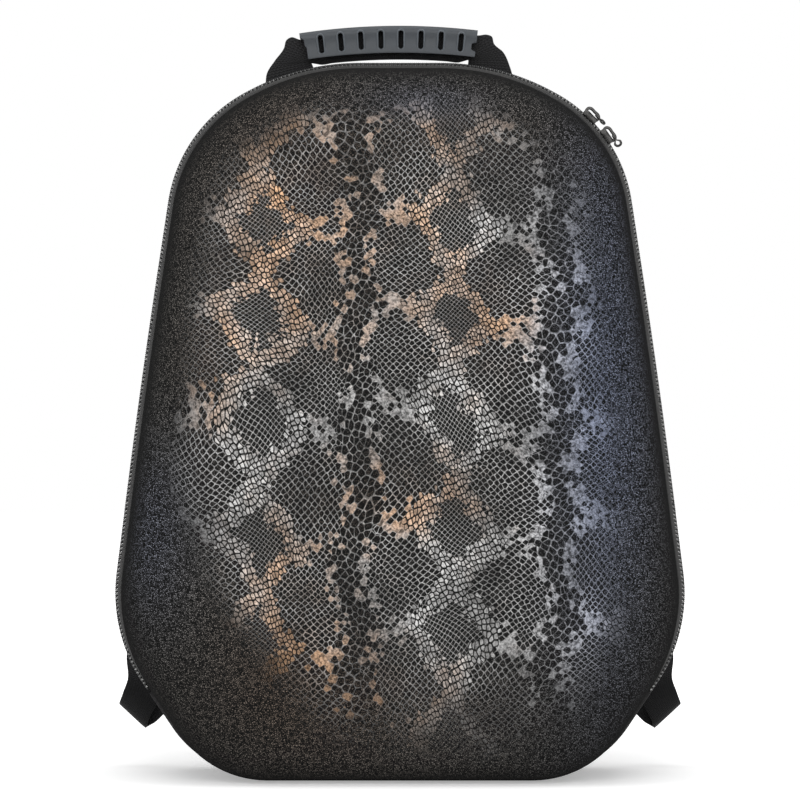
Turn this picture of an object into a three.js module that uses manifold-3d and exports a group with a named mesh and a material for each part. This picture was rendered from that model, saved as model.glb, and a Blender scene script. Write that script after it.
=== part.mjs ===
// A hard-shell backpack for a game console. A domed front half and a shallow back half of moulded foam
// board meet at a zip, which runs round the sides and the top. A carry handle stands behind the zip on
// top, and two padded shoulder straps hang on the back.
// Millimetres. The front faces -Y, +X is to the right of someone looking at the front, +Z is up, and the
// origin is the middle of the base.
import * as THREE from "three";
import { mergeVertices } from "three/addons/utils/BufferGeometryUtils.js";
import Module from "manifold-3d";

const wasm = await Module();
wasm.setup();

// Driving dimensions
const SHELL_HALF_WIDTH = 191.2; // at the zip, where the bag is widest
const SHELL_HEIGHT = 480;
const BOARD = 4; // foam board with its cloth
const GAP = 0.3; // between neighbouring pieces
const RIM = 11; // from the middle of the zip to the rim of each half
const OUTLINE_POINTS = 72;
const ZIP_STEPS = 76;
const GUSSET_STEPS = 24;
const ZIP_END_HEIGHT = 52; // the zip stops on the slanted lower corners

// Right half of the front outline, from the base up: corners of a polygon with their rounding.
const OUTLINE_CORNERS = [
  { x: 129.6, z: 0, radius: 74 },
  { x: 195.9, z: 98, radius: 108 },
  { x: 148.7, z: 436, radius: 100 },
  { x: 67.3, z: SHELL_HEIGHT, radius: 158 },
];

// Sections of each half, from its rim outwards: depth from the zip, half width, lowest and highest level.
const FRONT_SECTIONS = [
  { depth: RIM, half: 186.4, base: 0, top: 475.5 },
  { depth: 40, half: 184, base: 0, top: 473 },
  { depth: 66, half: 178, base: 4, top: 467 },
  { depth: 85, half: 166, base: 13, top: 455 },
  { depth: 97, half: 147, base: 33, top: 434 },
  { depth: 104, half: 120, base: 66, top: 400 },
  { depth: 108.5, half: 80, base: 115, top: 350 },
  { depth: 111, half: 36, base: 170, top: 285 },
];
const BACK_SECTIONS = [
  { depth: RIM, half: 186.4, base: 0, top: 475.5 },
  { depth: 40, half: 184.5, base: 0, top: 474 },
  { depth: 55, half: 180, base: 3, top: 470 },
  { depth: 64, half: 170, base: 12, top: 460 },
  { depth: 68, half: 157, base: 26, top: 446 },
  { depth: 69, half: 147, base: 36, top: 436 },
];
const FRONT_DEPTH = FRONT_SECTIONS.at(-1).depth;
const BACK_DEPTH = BACK_SECTIONS.at(-1).depth;

// Right shoulder pad, from the sewn top end down: gap is how far it stands off the back panel.
const PAD_SECTIONS = [
  { z: 431, x: 52, gap: 0.5, width: 60, thick: 5 },
  { z: 418, x: 52.5, gap: 2.5, width: 64, thick: 10 },
  { z: 390, x: 53, gap: 11, width: 66, thick: 12.5 },
  { z: 350, x: 55, gap: 20, width: 66, thick: 13 },
  { z: 300, x: 58, gap: 25.5, width: 66, thick: 13 },
  { z: 250, x: 64, gap: 26, width: 64, thick: 13 },
  { z: 205, x: 73, gap: 22.5, width: 60, thick: 12.5 },
  { z: 165, x: 85, gap: 17, width: 54, thick: 12 },
  { z: 140, x: 93.5, gap: 13.5, width: 42, thick: 10 },
  { z: 121.6, x: 105, gap: 13.2, width: 30, thick: 6.5 },
];
const PAD_STEPS = 20;
const PAD_SIDES = 12;
const PAD_CORNER = 0.5; // power of the rounded section, where 1 is an ellipse

// The zip plane is placed so that the whole depth, straps included, is centred on the origin.
const BACK_REACH = BACK_DEPTH + Math.max(...PAD_SECTIONS.map((row) => row.gap + row.thick));
const ZIP_Y = (FRONT_DEPTH - BACK_REACH) / 2;
const BACK_FACE_Y = ZIP_Y + BACK_DEPTH;

// Sections of the zip and the bottom strip: inset from the outline, and distance behind the zip's middle.
const TAPE_EDGE = RIM - 0.4;
const TAPE_FRONT_SECTION = [
  { inset: 4.9, y: -TAPE_EDGE },
  { inset: 0.9, y: -2.6 },
  { inset: 2.2, y: -2.6 },
  { inset: 6.2, y: -TAPE_EDGE },
];
const TAPE_BACK_SECTION = TAPE_FRONT_SECTION.map(({ inset, y }) => ({ inset, y: -y }));
const TEETH_SECTION = [
  { inset: 0.9, y: -2.2 },
  { inset: 0, y: -1.2 },
  { inset: 0, y: 1.2 },
  { inset: 0.9, y: 2.2 },
  { inset: 2.4, y: 2.2 },
  { inset: 2.4, y: -2.2 },
];
const GUSSET_SECTION = [
  { inset: 0.5, y: -TAPE_EDGE },
  { inset: 0.5, y: TAPE_EDGE },
  { inset: 1.8, y: TAPE_EDGE },
  { inset: 1.8, y: -TAPE_EDGE },
];

// Sliders and pulls, in their own frame: x down the zip, y across it, z off it.
const SLIDER_HEIGHTS = { upper: 443, lower: 430 };
const SLIDER = { length: 11, head: 9.5, tail: 7, foot: 0.45, thick: 2.1, bevel: 0.3 };
const BRIDGE = { length: 10.4, base: 2.2, top: 7, thick: 3, corner: 1.8 };
const BRIDGE_HOLE = { length: 7.8, sill: 3, lintel: 5.8, corner: 1.1 };
const PULL = { pivotX: 2.4, pivotZ: 4.3, bar: 0.8, reach: 8.3, wide: 6.8, thick: 1.5, corner: 0.75 };
const PULL_WINDOW = { reach: 6.2, wide: 4.2, corner: 0.4 };

// Carry handle: an arched grip over webbing that stands on edge behind the zip.
const HANDLE_X = -7;
const HANDLE_Y = ZIP_Y + 13.2;
const GRIP = { top: 505.5, arch: 450, tall: 18.5, topHalf: 59.5, footHalf: 56, deep: 20 };
const GRIP_WALL = 2.5;
const GRIP_BEVEL = 2.5;
const GRIP_SLOT = { count: 8, pitch: 13.4, width: 3.5, tall: 12.5, drop: 9.6 };
const WEBBING = { thick: 2.4, foot: 22.5, slack: 0.5, footHalf: 50 };
const LEFT_LEG = [
  { x: -66, z: 496.5 },
  { x: -76, z: 495.5 },
  { x: -89, z: 477 },
  { x: -91, z: 455 },
  { x: -59, z: 465 },
];
const RIGHT_LEG = [
  { x: 45.5, z: 465 },
  { x: 76.5, z: 455 },
  { x: 74.5, z: 477 },
  { x: 69, z: 489 },
  { x: 61, z: 498 },
  { x: 52, z: 498.5 },
];

// Right ladder lock at the end of the pad, and the webbing that runs from it to the lower corner.
const LOCK = { x: 112, z: 112, lean: 0.6435, wide: 34, slot: 27, thick: 4.5, corner: 4, slotCorner: 1 };
const LOCK_Y = BACK_FACE_Y + 17;
const LOCK_LEVELS = { foot: -10.5, lowSlot: [-7, -1.5], highSlot: [2, 7.5], head: 10.5 };
const STRAP = { wide: 25, thick: 1.6, turn: 5, turnSteps: 6 };
const STRAP_FOLD = { x: 178.5, z: 38.6, off: 12, tilt: 0.6575 };
const STRAP_ANCHOR = { x: 145, z: 112, lean: 0.42 };

// How the webbing threads the lock: along it, and out from it.
const LOCK_THREAD = [
  { along: 5.2, out: -4 },
  { along: 4.6, out: 0 },
  { along: 2.7, out: 3.9 },
  { along: -2.2, out: 3.9 },
  { along: -4.1, out: 0 },
  { along: -6.2, out: -4.2 },
  { along: -15, out: -4 },
];

const PRINTED_CLOTH = { color: 0x3a3735, roughness: 0.55, metalness: 0.1 };
const PLAIN_CLOTH = { color: 0x232323, roughness: 0.85, metalness: 0 };
const ZIP_TAPE = { color: 0x2a2a2b, roughness: 0.8, metalness: 0 };
const ZIP_COIL = { color: 0x0d0d0e, roughness: 0.3, metalness: 0 };
const GUNMETAL = { color: 0x4a4a4c, roughness: 0.3, metalness: 1 };
const BLACK_WEBBING = { color: 0x161617, roughness: 0.85, metalness: 0 };
const GRIP_PLASTIC = { color: 0x555c62, roughness: 0.5, metalness: 0 };
const PAD_CLOTH = { color: 0x1d1d1e, roughness: 0.9, metalness: 0 };
const BUCKLE_PLASTIC = { color: 0x111112, roughness: 0.4, metalness: 0 };

const vec = (x, y, z) => new THREE.Vector3(x, y, z);

function piece(name, geometry, finish) {
  const mesh = new THREE.Mesh(geometry, new THREE.MeshStandardMaterial(finish));
  mesh.name = name;
  return mesh;
}

// Turns the faces round where the enclosed volume comes out negative.
function faceOutwards(points, faces) {
  let volume = 0;
  for (let i = 0; i < faces.length; i += 3) {
    const [a, b, c] = [points[faces[i]], points[faces[i + 1]], points[faces[i + 2]]];
    volume += a.dot(b.clone().cross(c));
  }
  return volume < 0 ? faces.reverse() : faces;
}

// A closed body through rings of equally many points, with a fan over each end.
function loft(rings) {
  const count = rings[0].length;
  const points = rings.flat();
  const faces = [];
  for (let start = 0; start + count < rings.length * count; start += count) {
    for (let k = 0; k < count; k++) {
      const a = start + k;
      const b = start + ((k + 1) % count);
      faces.push(a, b, b + count, a, b + count, a + count);
    }
  }
  for (const end of [0, rings.length - 1]) {
    const sum = rings[end].reduce((total, point) => total.add(point), vec(0, 0, 0));
    const hub = points.push(sum.divideScalar(count)) - 1;
    for (let k = 0; k < count; k++) {
      const rim = [end * count + k, end * count + ((k + 1) % count)];
      faces.push(hub, ...(end ? rim : rim.reverse()));
    }
  }
  return new THREE.BufferGeometry().setFromPoints(points).setIndex(faceOutwards(points, faces));
}

function solid(geometry) {
  const bare = geometry.clone();
  bare.deleteAttribute("normal");
  bare.deleteAttribute("uv");
  const merged = mergeVertices(bare);
  const vertProperties = Float32Array.from(merged.attributes.position.array);
  const triVerts = Uint32Array.from(merged.index.array);
  return new wasm.Manifold(new wasm.Mesh({ numProp: 3, vertProperties, triVerts }));
}

function surface(body) {
  const { vertProperties, triVerts } = body.getMesh();
  const geometry = new THREE.BufferGeometry();
  geometry.setAttribute("position", new THREE.BufferAttribute(vertProperties, 3));
  return geometry.setIndex(new THREE.BufferAttribute(triVerts, 1));
}

const cut = (body, ...tools) =>
  surface(tools.reduce((left, tool) => left.subtract(solid(tool)), solid(body)));
const join = (...bodies) => surface(bodies.map(solid).reduce((all, next) => all.add(next)));

// The front outline as one closed path of lines and arcs, from the middle of the base, right side first.
function outlinePath() {
  const leftCorners = OUTLINE_CORNERS.map((corner) => ({ ...corner, x: -corner.x })).reverse();
  const corners = [...OUTLINE_CORNERS, ...leftCorners];
  const spots = corners.map(({ x, z }) => new THREE.Vector2(x, z));
  const path = new THREE.Path();
  path.moveTo(0, 0);
  path.lineTo(1, 0);
  corners.forEach(({ radius }, i) => {
    const spot = spots[i];
    const back = spots.at(i - 1).clone().sub(spot).normalize();
    const ahead = spots[(i + 1) % spots.length].clone().sub(spot).normalize();
    const halfAngle = back.angleTo(ahead) / 2;
    const middle = back.clone().add(ahead).normalize();
    const centre = middle.multiplyScalar(radius / Math.sin(halfAngle)).add(spot);
    const reach = radius / Math.tan(halfAngle);
    const start = back.multiplyScalar(reach).add(spot).sub(centre).angle();
    const end = ahead.multiplyScalar(reach).add(spot).sub(centre).angle();
    path.absarc(centre.x, centre.y, radius, start, end, false);
  });
  path.lineTo(0, 0);
  return path;
}

const outline = outlinePath();
const outlinePoints = outline.getSpacedPoints(OUTLINE_POINTS).slice(0, -1);

// The outline stretched to one section's half width and levels.
function sectionRing({ half, base, top }, y) {
  const acrossScale = half / SHELL_HALF_WIDTH;
  const upScale = (top - base) / SHELL_HEIGHT;
  return outlinePoints.map((point) => vec(point.x * acrossScale, y, base + point.y * upScale));
}

// A body through the sections of one half, grown or shrunk, from a mouth past the rim to the outer face.
function halfBody(sections, facing, grow, mouth) {
  const rings = sections.map(({ depth, half, base, top }, i) => {
    const grown = { half: half + grow, base: base - grow, top: top + grow };
    return sectionRing(grown, ZIP_Y + facing * (i ? depth + grow : depth - mouth));
  });
  return loft(rings);
}

const shell = (sections, facing) =>
  cut(halfBody(sections, facing, 0, 0), halfBody(sections, facing, -BOARD, 1));

// Where the outline is at a share of its length, with the way in and the way along.
function outlineAt(share) {
  const wrapped = share - Math.floor(share);
  const at = outline.getPoint(wrapped);
  const along = outline.getTangent(wrapped);
  return { at, along, inward: new THREE.Vector2(-along.y, along.x) };
}

// Share of the outline's length at which its right side reaches a height.
function shareAtHeight(height) {
  let low = 0;
  let high = 0.5;
  while (high - low > 1e-6) {
    const middle = (low + high) / 2;
    if (outline.getPoint(middle).y < height) low = middle;
    else high = middle;
  }
  return low;
}

// A strip of one section along part of the outline.
function outlineStrip(section, from, to, steps) {
  const rings = [];
  for (let i = 0; i <= steps; i++) {
    const { at, inward } = outlineAt(from + ((to - from) * i) / steps);
    rings.push(
      section.map(({ inset, y }) => vec(at.x + inward.x * inset, ZIP_Y + y, at.y + inward.y * inset)),
    );
  }
  return loft(rings);
}

// A shape drawn in X and Z, extruded along Y and centred on it.
function upright(shape, depth, { bevel = 0, bevelSegments = 1, curveSegments = 10 } = {}) {
  const settings = {
    depth: depth - 2 * bevel,
    bevelEnabled: bevel > 0,
    bevelThickness: bevel,
    bevelSize: bevel,
    bevelOffset: -bevel,
    bevelSegments,
    curveSegments,
  };
  const geometry = new THREE.ExtrudeGeometry(shape, settings);
  return geometry.translate(0, 0, bevel - depth / 2).rotateX(Math.PI / 2);
}

function roundedBar(path, left, right, low, high, radius) {
  path.absarc(right - radius, low + radius, radius, -Math.PI / 2, 0, false);
  path.absarc(right - radius, high - radius, radius, 0, Math.PI / 2, false);
  path.absarc(left + radius, high - radius, radius, Math.PI / 2, Math.PI, false);
  path.absarc(left + radius, low + radius, radius, Math.PI, 1.5 * Math.PI, false);
  path.closePath();
  return path;
}

// Slider body, wide at its head, with the bridge that holds the pull.
function sliderGeometry() {
  const { length, head, tail, foot, thick, bevel } = SLIDER;
  const plan = new THREE.Shape();
  plan.moveTo(length / 2, -tail / 2);
  plan.lineTo(length / 2, tail / 2);
  plan.quadraticCurveTo(0, tail / 2, -length / 4, head / 2);
  plan.lineTo(-length / 2, head / 3);
  plan.lineTo(-length / 2, -head / 3);
  plan.lineTo(-length / 4, -head / 2);
  plan.quadraticCurveTo(0, -tail / 2, length / 2, -tail / 2);
  const body = new THREE.ExtrudeGeometry(plan, {
    depth: thick - 2 * bevel,
    bevelThickness: bevel,
    bevelSize: bevel,
    bevelOffset: -bevel,
    bevelSegments: 1,
    curveSegments: 4,
  }).translate(0, 0, foot + bevel);
  const bridgeHalf = BRIDGE.length / 2;
  const arch = roundedBar(new THREE.Shape(), -bridgeHalf, bridgeHalf, BRIDGE.base, BRIDGE.top, BRIDGE.corner);
  const { length: holeLength, sill, lintel, corner } = BRIDGE_HOLE;
  arch.holes.push(roundedBar(new THREE.Path(), -holeLength / 2, holeLength / 2, sill, lintel, corner));
  return join(body, upright(arch, BRIDGE.thick, { curveSegments: 4 }));
}

// Pull plate with a window for the bridge. Its bar lies under the bridge, on the hinge line.
function pullGeometry() {
  const { pivotX, pivotZ, bar, reach, wide, thick, corner } = PULL;
  const plate = roundedBar(new THREE.Shape(), -bar, reach, -wide / 2, wide / 2, corner);
  const { reach: far, wide: gape, corner: nook } = PULL_WINDOW;
  plate.holes.push(roundedBar(new THREE.Path(), bar, far, -gape / 2, gape / 2, nook));
  const settings = { depth: thick, bevelEnabled: false, curveSegments: 3 };
  const geometry = new THREE.ExtrudeGeometry(plate, settings);
  return geometry.translate(pivotX, 0, pivotZ - thick / 2);
}

// One slider and its pull, set on the zip at a height of its right side.
function sliderGroup(place, height) {
  const { at, along } = outlineAt(shareAtHeight(height));
  const group = new THREE.Group();
  group.position.set(at.x, ZIP_Y, at.y);
  group.rotation.y = Math.atan2(along.y, -along.x);
  group.add(piece(`zip_slider_${place}`, sliderGeometry(), GUNMETAL));
  group.add(piece(`zip_pull_${place}`, pullGeometry(), GUNMETAL));
  return group;
}

// A band between two concentric arcs, with slanted ends.
function archBand(shape, radius, tall, topHalf, footHalf) {
  const topTurn = Math.asin(topHalf / radius);
  const footTurn = Math.asin(footHalf / (radius - tall));
  shape.absarc(0, 0, radius, Math.PI / 2 - topTurn, Math.PI / 2 + topTurn, false);
  shape.absarc(0, 0, radius - tall, Math.PI / 2 + footTurn, Math.PI / 2 - footTurn, true);
  return shape;
}

// Grip with a channel that is open below and at both ends, and slots through its two faces.
function gripGeometry() {
  const { top, arch, tall, topHalf, footHalf, deep } = GRIP;
  const bodyShape = archBand(new THREE.Shape(), arch, tall, topHalf, footHalf);
  const body = upright(bodyShape, deep, { bevel: GRIP_BEVEL, bevelSegments: 2 });
  const channelShape = archBand(new THREE.Shape(), arch - GRIP_WALL, tall, 2 * topHalf, 2 * footHalf);
  const channel = upright(channelShape, deep - 2 * GRIP_WALL);
  const { count, pitch, width, tall: slotTall, drop } = GRIP_SLOT;
  const slots = [];
  for (let i = 0; i < count; i++) {
    const turn = ((i - (count - 1) / 2) * pitch) / (arch - drop);
    const bar = roundedBar(new THREE.Shape(), -width / 2, width / 2, -slotTall / 2, slotTall / 2, width / 2);
    const slot = upright(bar, 2 * deep, { curveSegments: 2 });
    slots.push(slot.translate(0, 0, arch - drop).rotateY(turn));
  }
  return cut(body, channel, ...slots).translate(HANDLE_X, HANDLE_Y, top - arch);
}

// Webbing of the handle: two legs that rise from the seam behind the zip, and a run through the grip.
function handleWebbingGeometry() {
  const centreZ = GRIP.top - GRIP.arch;
  const runTop = GRIP.arch - GRIP_WALL - WEBBING.slack;
  const runFoot = GRIP.arch - WEBBING.foot;
  const footTurn = Math.asin(WEBBING.footHalf / runFoot);
  const shape = new THREE.Shape();
  shape.setFromPoints(RIGHT_LEG.map(({ x, z }) => new THREE.Vector2(x, z)));
  const ends = [RIGHT_LEG.at(-1).x, LEFT_LEG[0].x].map((x) => Math.acos((x - HANDLE_X) / runTop));
  shape.absarc(HANDLE_X, centreZ, runTop, ends[0], ends[1], false);
  LEFT_LEG.forEach(({ x, z }) => shape.lineTo(x, z));
  const run = [Math.PI / 2 + footTurn, Math.PI / 2 - footTurn];
  shape.absarc(HANDLE_X, centreZ, runFoot, run[0], run[1], true);
  shape.closePath();
  const band = upright(shape, WEBBING.thick).translate(0, HANDLE_Y, 0);
  return cut(band, halfBody(BACK_SECTIONS, 1, GAP, 1));
}

// Rounded section of a pad, across and through.
function padRing(centre, across, through, width, thick) {
  const ring = [];
  for (let k = 0; k < PAD_SIDES; k++) {
    const turn = (2 * Math.PI * (k + 0.5)) / PAD_SIDES;
    const bulge = (value) => Math.sign(value) * Math.abs(value) ** PAD_CORNER;
    const point = centre.clone().addScaledVector(across, (bulge(Math.cos(turn)) * width) / 2);
    ring.push(point.addScaledVector(through, (bulge(Math.sin(turn)) * thick) / 2));
  }
  return ring;
}

function padGeometry(side) {
  const spots = PAD_SECTIONS.map(({ z, x, gap, thick }) => vec(side * x, BACK_FACE_Y + gap + thick / 2, z));
  const spine = new THREE.CatmullRomCurve3(spots, false, "chordal");
  const rings = [];
  for (let i = 0; i <= PAD_STEPS; i++) {
    const share = i / PAD_STEPS;
    const row = share * (PAD_SECTIONS.length - 1);
    const from = PAD_SECTIONS[Math.floor(row)];
    const to = PAD_SECTIONS[Math.ceil(row)];
    const width = THREE.MathUtils.lerp(from.width, to.width, row % 1);
    const thick = THREE.MathUtils.lerp(from.thick, to.thick, row % 1);
    const along = spine.getTangent(share);
    const across = along.clone().cross(vec(0, 1, 0)).normalize();
    rings.push(padRing(spine.getPoint(share), across, across.clone().cross(along), width, thick));
  }
  return loft(rings);
}

// Ladder lock: a plate with two slots, leaning along the strap.
function lockMesh(name, side) {
  const { wide, slot, thick, corner, slotCorner } = LOCK;
  const { foot, head, lowSlot, highSlot } = LOCK_LEVELS;
  const plate = roundedBar(new THREE.Shape(), -wide / 2, wide / 2, foot, head, corner);
  for (const [low, high] of [lowSlot, highSlot])
    plate.holes.push(roundedBar(new THREE.Path(), -slot / 2, slot / 2, low, high, slotCorner));
  const mesh = piece(name, upright(plate, thick, { curveSegments: 3 }), BUCKLE_PLASTIC);
  mesh.position.set(side * LOCK.x, LOCK_Y, LOCK.z);
  mesh.rotation.y = -side * LOCK.lean;
  return mesh;
}

// A flat ribbon through spots, each with the direction of its width.
function ribbon(rows, wide, thick) {
  const rings = rows.map(({ spot, across }, i) => {
    const before = rows[Math.max(i - 1, 0)].spot;
    const after = rows[Math.min(i + 1, rows.length - 1)].spot;
    const through = after.clone().sub(before).cross(across).normalize();
    const corners = [[1, 1], [-1, 1], [-1, -1], [1, -1]];
    return corners.map(([a, t]) =>
      spot.clone().addScaledVector(across, (a * wide) / 2).addScaledVector(through, (t * thick) / 2),
    );
  });
  return loft(rings);
}

// Webbing from inside the lock, down and round a loose turn, and back to its anchor on the back panel.
function strapGeometry(side) {
  const lean = (angle) => ({
    across: vec(side * Math.cos(angle), 0, Math.sin(angle)),
    up: vec(-side * Math.sin(angle), 0, Math.cos(angle)),
  });
  const lock = lean(LOCK.lean);
  const rows = LOCK_THREAD.map(({ along, out }) => ({
    spot: vec(side * LOCK.x, LOCK_Y + out, LOCK.z).addScaledVector(lock.up, along),
    across: lock.across,
  }));
  const fold = lean(STRAP_FOLD.tilt);
  const foldSpot = vec(side * STRAP_FOLD.x, BACK_FACE_Y + STRAP_FOLD.off, STRAP_FOLD.z);
  for (let i = 0; i <= STRAP.turnSteps; i++) {
    const turn = Math.PI / 2 - (Math.PI * i) / STRAP.turnSteps;
    const spot = foldSpot.clone().addScaledVector(fold.up, -STRAP.turn * Math.cos(turn));
    rows.push({ spot: spot.add(vec(0, STRAP.turn * Math.sin(turn), 0)), across: fold.across });
  }
  const anchor = lean(STRAP_ANCHOR.lean);
  const anchorSpot = vec(side * STRAP_ANCHOR.x, BACK_FACE_Y + GAP + STRAP.thick / 2, STRAP_ANCHOR.z);
  const sewn = STRAP.wide / 2;
  rows.push({ spot: anchorSpot.clone().addScaledVector(anchor.up, -sewn), across: anchor.across });
  rows.push({ spot: anchorSpot, across: anchor.across });
  return ribbon(rows, STRAP.wide, STRAP.thick);
}

const zipStart = shareAtHeight(ZIP_END_HEIGHT);
const zipEnd = 1 - zipStart;
const outlineLength = outline.getLength();
const gusset = { from: zipEnd + GAP / outlineLength, to: 1 + zipStart - GAP / outlineLength };
const strip = (section) => outlineStrip(section, zipStart, zipEnd, ZIP_STEPS);

const backpack = new THREE.Group();
backpack.add(piece("front_shell", shell(FRONT_SECTIONS, -1), PRINTED_CLOTH));
backpack.add(piece("back_shell", shell(BACK_SECTIONS, 1), PLAIN_CLOTH));
backpack.add(piece("zip_tape_front", strip(TAPE_FRONT_SECTION), ZIP_TAPE));
backpack.add(piece("zip_tape_back", strip(TAPE_BACK_SECTION), ZIP_TAPE));
backpack.add(piece("zip_teeth", strip(TEETH_SECTION), ZIP_COIL));
const gussetStrip = outlineStrip(GUSSET_SECTION, gusset.from, gusset.to, GUSSET_STEPS);
backpack.add(piece("hinge_gusset", gussetStrip, PLAIN_CLOTH));
for (const [place, height] of Object.entries(SLIDER_HEIGHTS)) backpack.add(sliderGroup(place, height));
backpack.add(piece("handle_webbing", handleWebbingGeometry(), BLACK_WEBBING));
backpack.add(piece("handle_grip", gripGeometry(), GRIP_PLASTIC));
for (const [name, side] of [["left", -1], ["right", 1]]) {
  backpack.add(piece(`shoulder_pad_${name}`, padGeometry(side), PAD_CLOTH));
  backpack.add(lockMesh(`ladder_lock_${name}`, side));
  backpack.add(piece(`strap_webbing_${name}`, strapGeometry(side), BLACK_WEBBING));
}

export default backpack;
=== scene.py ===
# %% [markdown]
# # A hard-shell backpack for a game console
# The real bag is two moulded halves of foam board that meet at a zip. Cloth with a foil snakeskin print
# covers the domed front. A carry handle stands behind the zip, and padded straps hang on the back.
# The construction is already made and packed as a fixed frame. This lesson gives each piece its finished
# surface, in metres and in the frame's own axes: the front faces -Y, and +Z is up.

import bmesh
import bpy
import numpy as np
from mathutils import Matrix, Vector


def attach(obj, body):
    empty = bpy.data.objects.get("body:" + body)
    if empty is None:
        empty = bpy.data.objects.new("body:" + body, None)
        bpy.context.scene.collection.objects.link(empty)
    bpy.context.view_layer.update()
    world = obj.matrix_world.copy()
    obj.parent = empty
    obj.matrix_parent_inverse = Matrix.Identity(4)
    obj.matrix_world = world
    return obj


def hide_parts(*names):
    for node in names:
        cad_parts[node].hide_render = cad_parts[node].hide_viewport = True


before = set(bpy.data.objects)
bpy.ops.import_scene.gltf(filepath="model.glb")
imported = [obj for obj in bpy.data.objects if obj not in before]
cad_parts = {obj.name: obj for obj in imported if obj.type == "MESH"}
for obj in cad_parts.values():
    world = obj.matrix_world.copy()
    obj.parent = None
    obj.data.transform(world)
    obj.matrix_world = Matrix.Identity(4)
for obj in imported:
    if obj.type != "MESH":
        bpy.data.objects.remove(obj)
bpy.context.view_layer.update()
MM = 0.001

# %% [markdown]
# ## Surfaces from arrays
# Nearly every piece here is a grid of points: a profile carried along a path, or a shape of two parameters.
# Working the whole grid out as one array is short and fast. A closed form repeats its first column at the
# end, and a pole is a row of equal points, so merging the doubles afterwards closes both.

# %% From a grid of points to a mesh
MERGE_DISTANCE = 1e-6


def grid_quads(rows, columns, copies):
    """Corner numbers of the quads between neighbours in a grid, shifted on for each copy of the grid."""
    row, column = np.mgrid[: rows - 1, : columns - 1]
    corner = (row * columns + column).ravel()
    quads = np.stack([corner, corner + 1, corner + columns + 1, corner + columns], -1)
    first = np.arange(copies) * rows * columns
    return (first[:, None, None] + quads).reshape(-1, 4)


def clean_mesh(mesh):
    """Merges the points that meet at seams and poles, and turns all faces outwards."""
    form = bmesh.new()
    form.from_mesh(mesh)
    bmesh.ops.remove_doubles(form, verts=form.verts, dist=MERGE_DISTANCE)
    bmesh.ops.dissolve_degenerate(form, edges=form.edges, dist=MERGE_DISTANCE)
    bmesh.ops.recalc_face_normals(form, faces=form.faces)
    form.to_mesh(mesh)
    form.free()


def grid_mesh(name, points, uv=None):
    """A mesh of one grid (rows, columns, 3), or of many equal ones (copies, rows, columns, 3)."""
    copies, rows, columns = (points if points.ndim == 4 else points[None]).shape[:3]
    quads = grid_quads(rows, columns, copies).astype(np.int32)
    mesh = bpy.data.meshes.new(name)
    mesh.vertices.add(points.size // 3)
    mesh.vertices.foreach_set("co", points.astype(np.float32).ravel())
    mesh.loops.add(quads.size)
    mesh.loops.foreach_set("vertex_index", quads.ravel())
    mesh.polygons.add(len(quads))
    mesh.polygons.foreach_set("loop_start", np.arange(0, quads.size, 4, dtype=np.int32))
    if uv is not None:
        corners = uv.reshape(-1, 2)[quads.ravel()]
        mesh.uv_layers.new(name="weave").uv.foreach_set("vector", corners.astype(np.float32).ravel())
    mesh.update(calc_edges=True)
    clean_mesh(mesh)
    return mesh


# %% From a mesh to a piece of the bag
def add_piece(name, points, finish, stands_for=(), body="bag", uv=None, sharp=None):
    """Makes a grid an object with a finish, sets it on its body and hides the nodes that it stands for."""
    mesh = grid_mesh(name, points, uv)
    piece = bpy.data.objects.new(name, mesh)
    bpy.context.scene.collection.objects.link(piece)
    mesh.materials.append(finish)
    mesh.shade_smooth()
    if sharp:
        mesh.set_sharp_from_angle(angle=sharp)
    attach(piece, body)
    if stands_for:
        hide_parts(*stands_for)
    print("made", name, "with", len(mesh.polygons), "faces")
    return piece


def mesh_points(mesh):
    """Places of a mesh's points, as an array."""
    places = np.empty(len(mesh.vertices) * 3, np.float32)
    mesh.vertices.foreach_get("co", places)
    return places.reshape(-1, 3)


def store_readings(mesh, readings):
    """Stores named numbers on a mesh's points, for a finish to read."""
    for name, values in readings.items():
        stored = mesh.attributes.new(name, "FLOAT", "POINT")
        stored.data.foreach_set("value", values.astype(np.float32))


# %% Curves: smooth rows, rounded loops and sweeps
FINE_STEPS = 40  # points of a smooth curve for each point of its chain, before they are spaced evenly


def unit(vectors):
    """Each vector divided by its length."""
    return vectors / np.linalg.norm(vectors, axis=-1, keepdims=True)


def chord_knots(points):
    """Running length along a chain of points, from 0."""
    steps = np.linalg.norm(np.diff(points, axis=0), axis=1)
    return np.concatenate([[0.0], np.cumsum(steps)])


def hermite(knots, rows, at, steady=True):
    """Cubic through rows of values. A row's slope is the harmonic mean of the slopes on both sides, so that
    nothing overshoots. Where steady is False it is their mean weighted by the far span, which bends more
    freely."""
    span = np.diff(knots)[:, None]
    slope = np.diff(rows, axis=0) / span
    if steady:
        product = slope[:-1] * slope[1:]
        total = np.where(product > 0, slope[:-1] + slope[1:], 1)
        inner = np.where(product > 0, 2 * product / total, 0)
    else:
        inner = (slope[:-1] * span[1:] + slope[1:] * span[:-1]) / (span[:-1] + span[1:])
    tangent = np.vstack([slope[:1], inner, slope[-1:]])
    i = np.clip(np.searchsorted(knots, at, side="right") - 1, 0, len(knots) - 2)
    t = ((at - knots[i]) / np.diff(knots)[i])[:, None]
    ends = rows[i] * (1 + 2 * t) * (1 - t) ** 2 + rows[i + 1] * t * t * (3 - 2 * t)
    bends = tangent[i] * t * (1 - t) ** 2 - tangent[i + 1] * t * t * (1 - t)
    return ends + bends * span[i]


def smooth_path(points, count):
    """A chain of points as a smooth curve with that many points, evenly spaced along it."""
    points = np.asarray(points, float)
    knots = chord_knots(points)
    dense = hermite(knots, points, np.linspace(0, knots[-1], FINE_STEPS * len(points)), steady=False)
    return spaced(dense, count)


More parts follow.
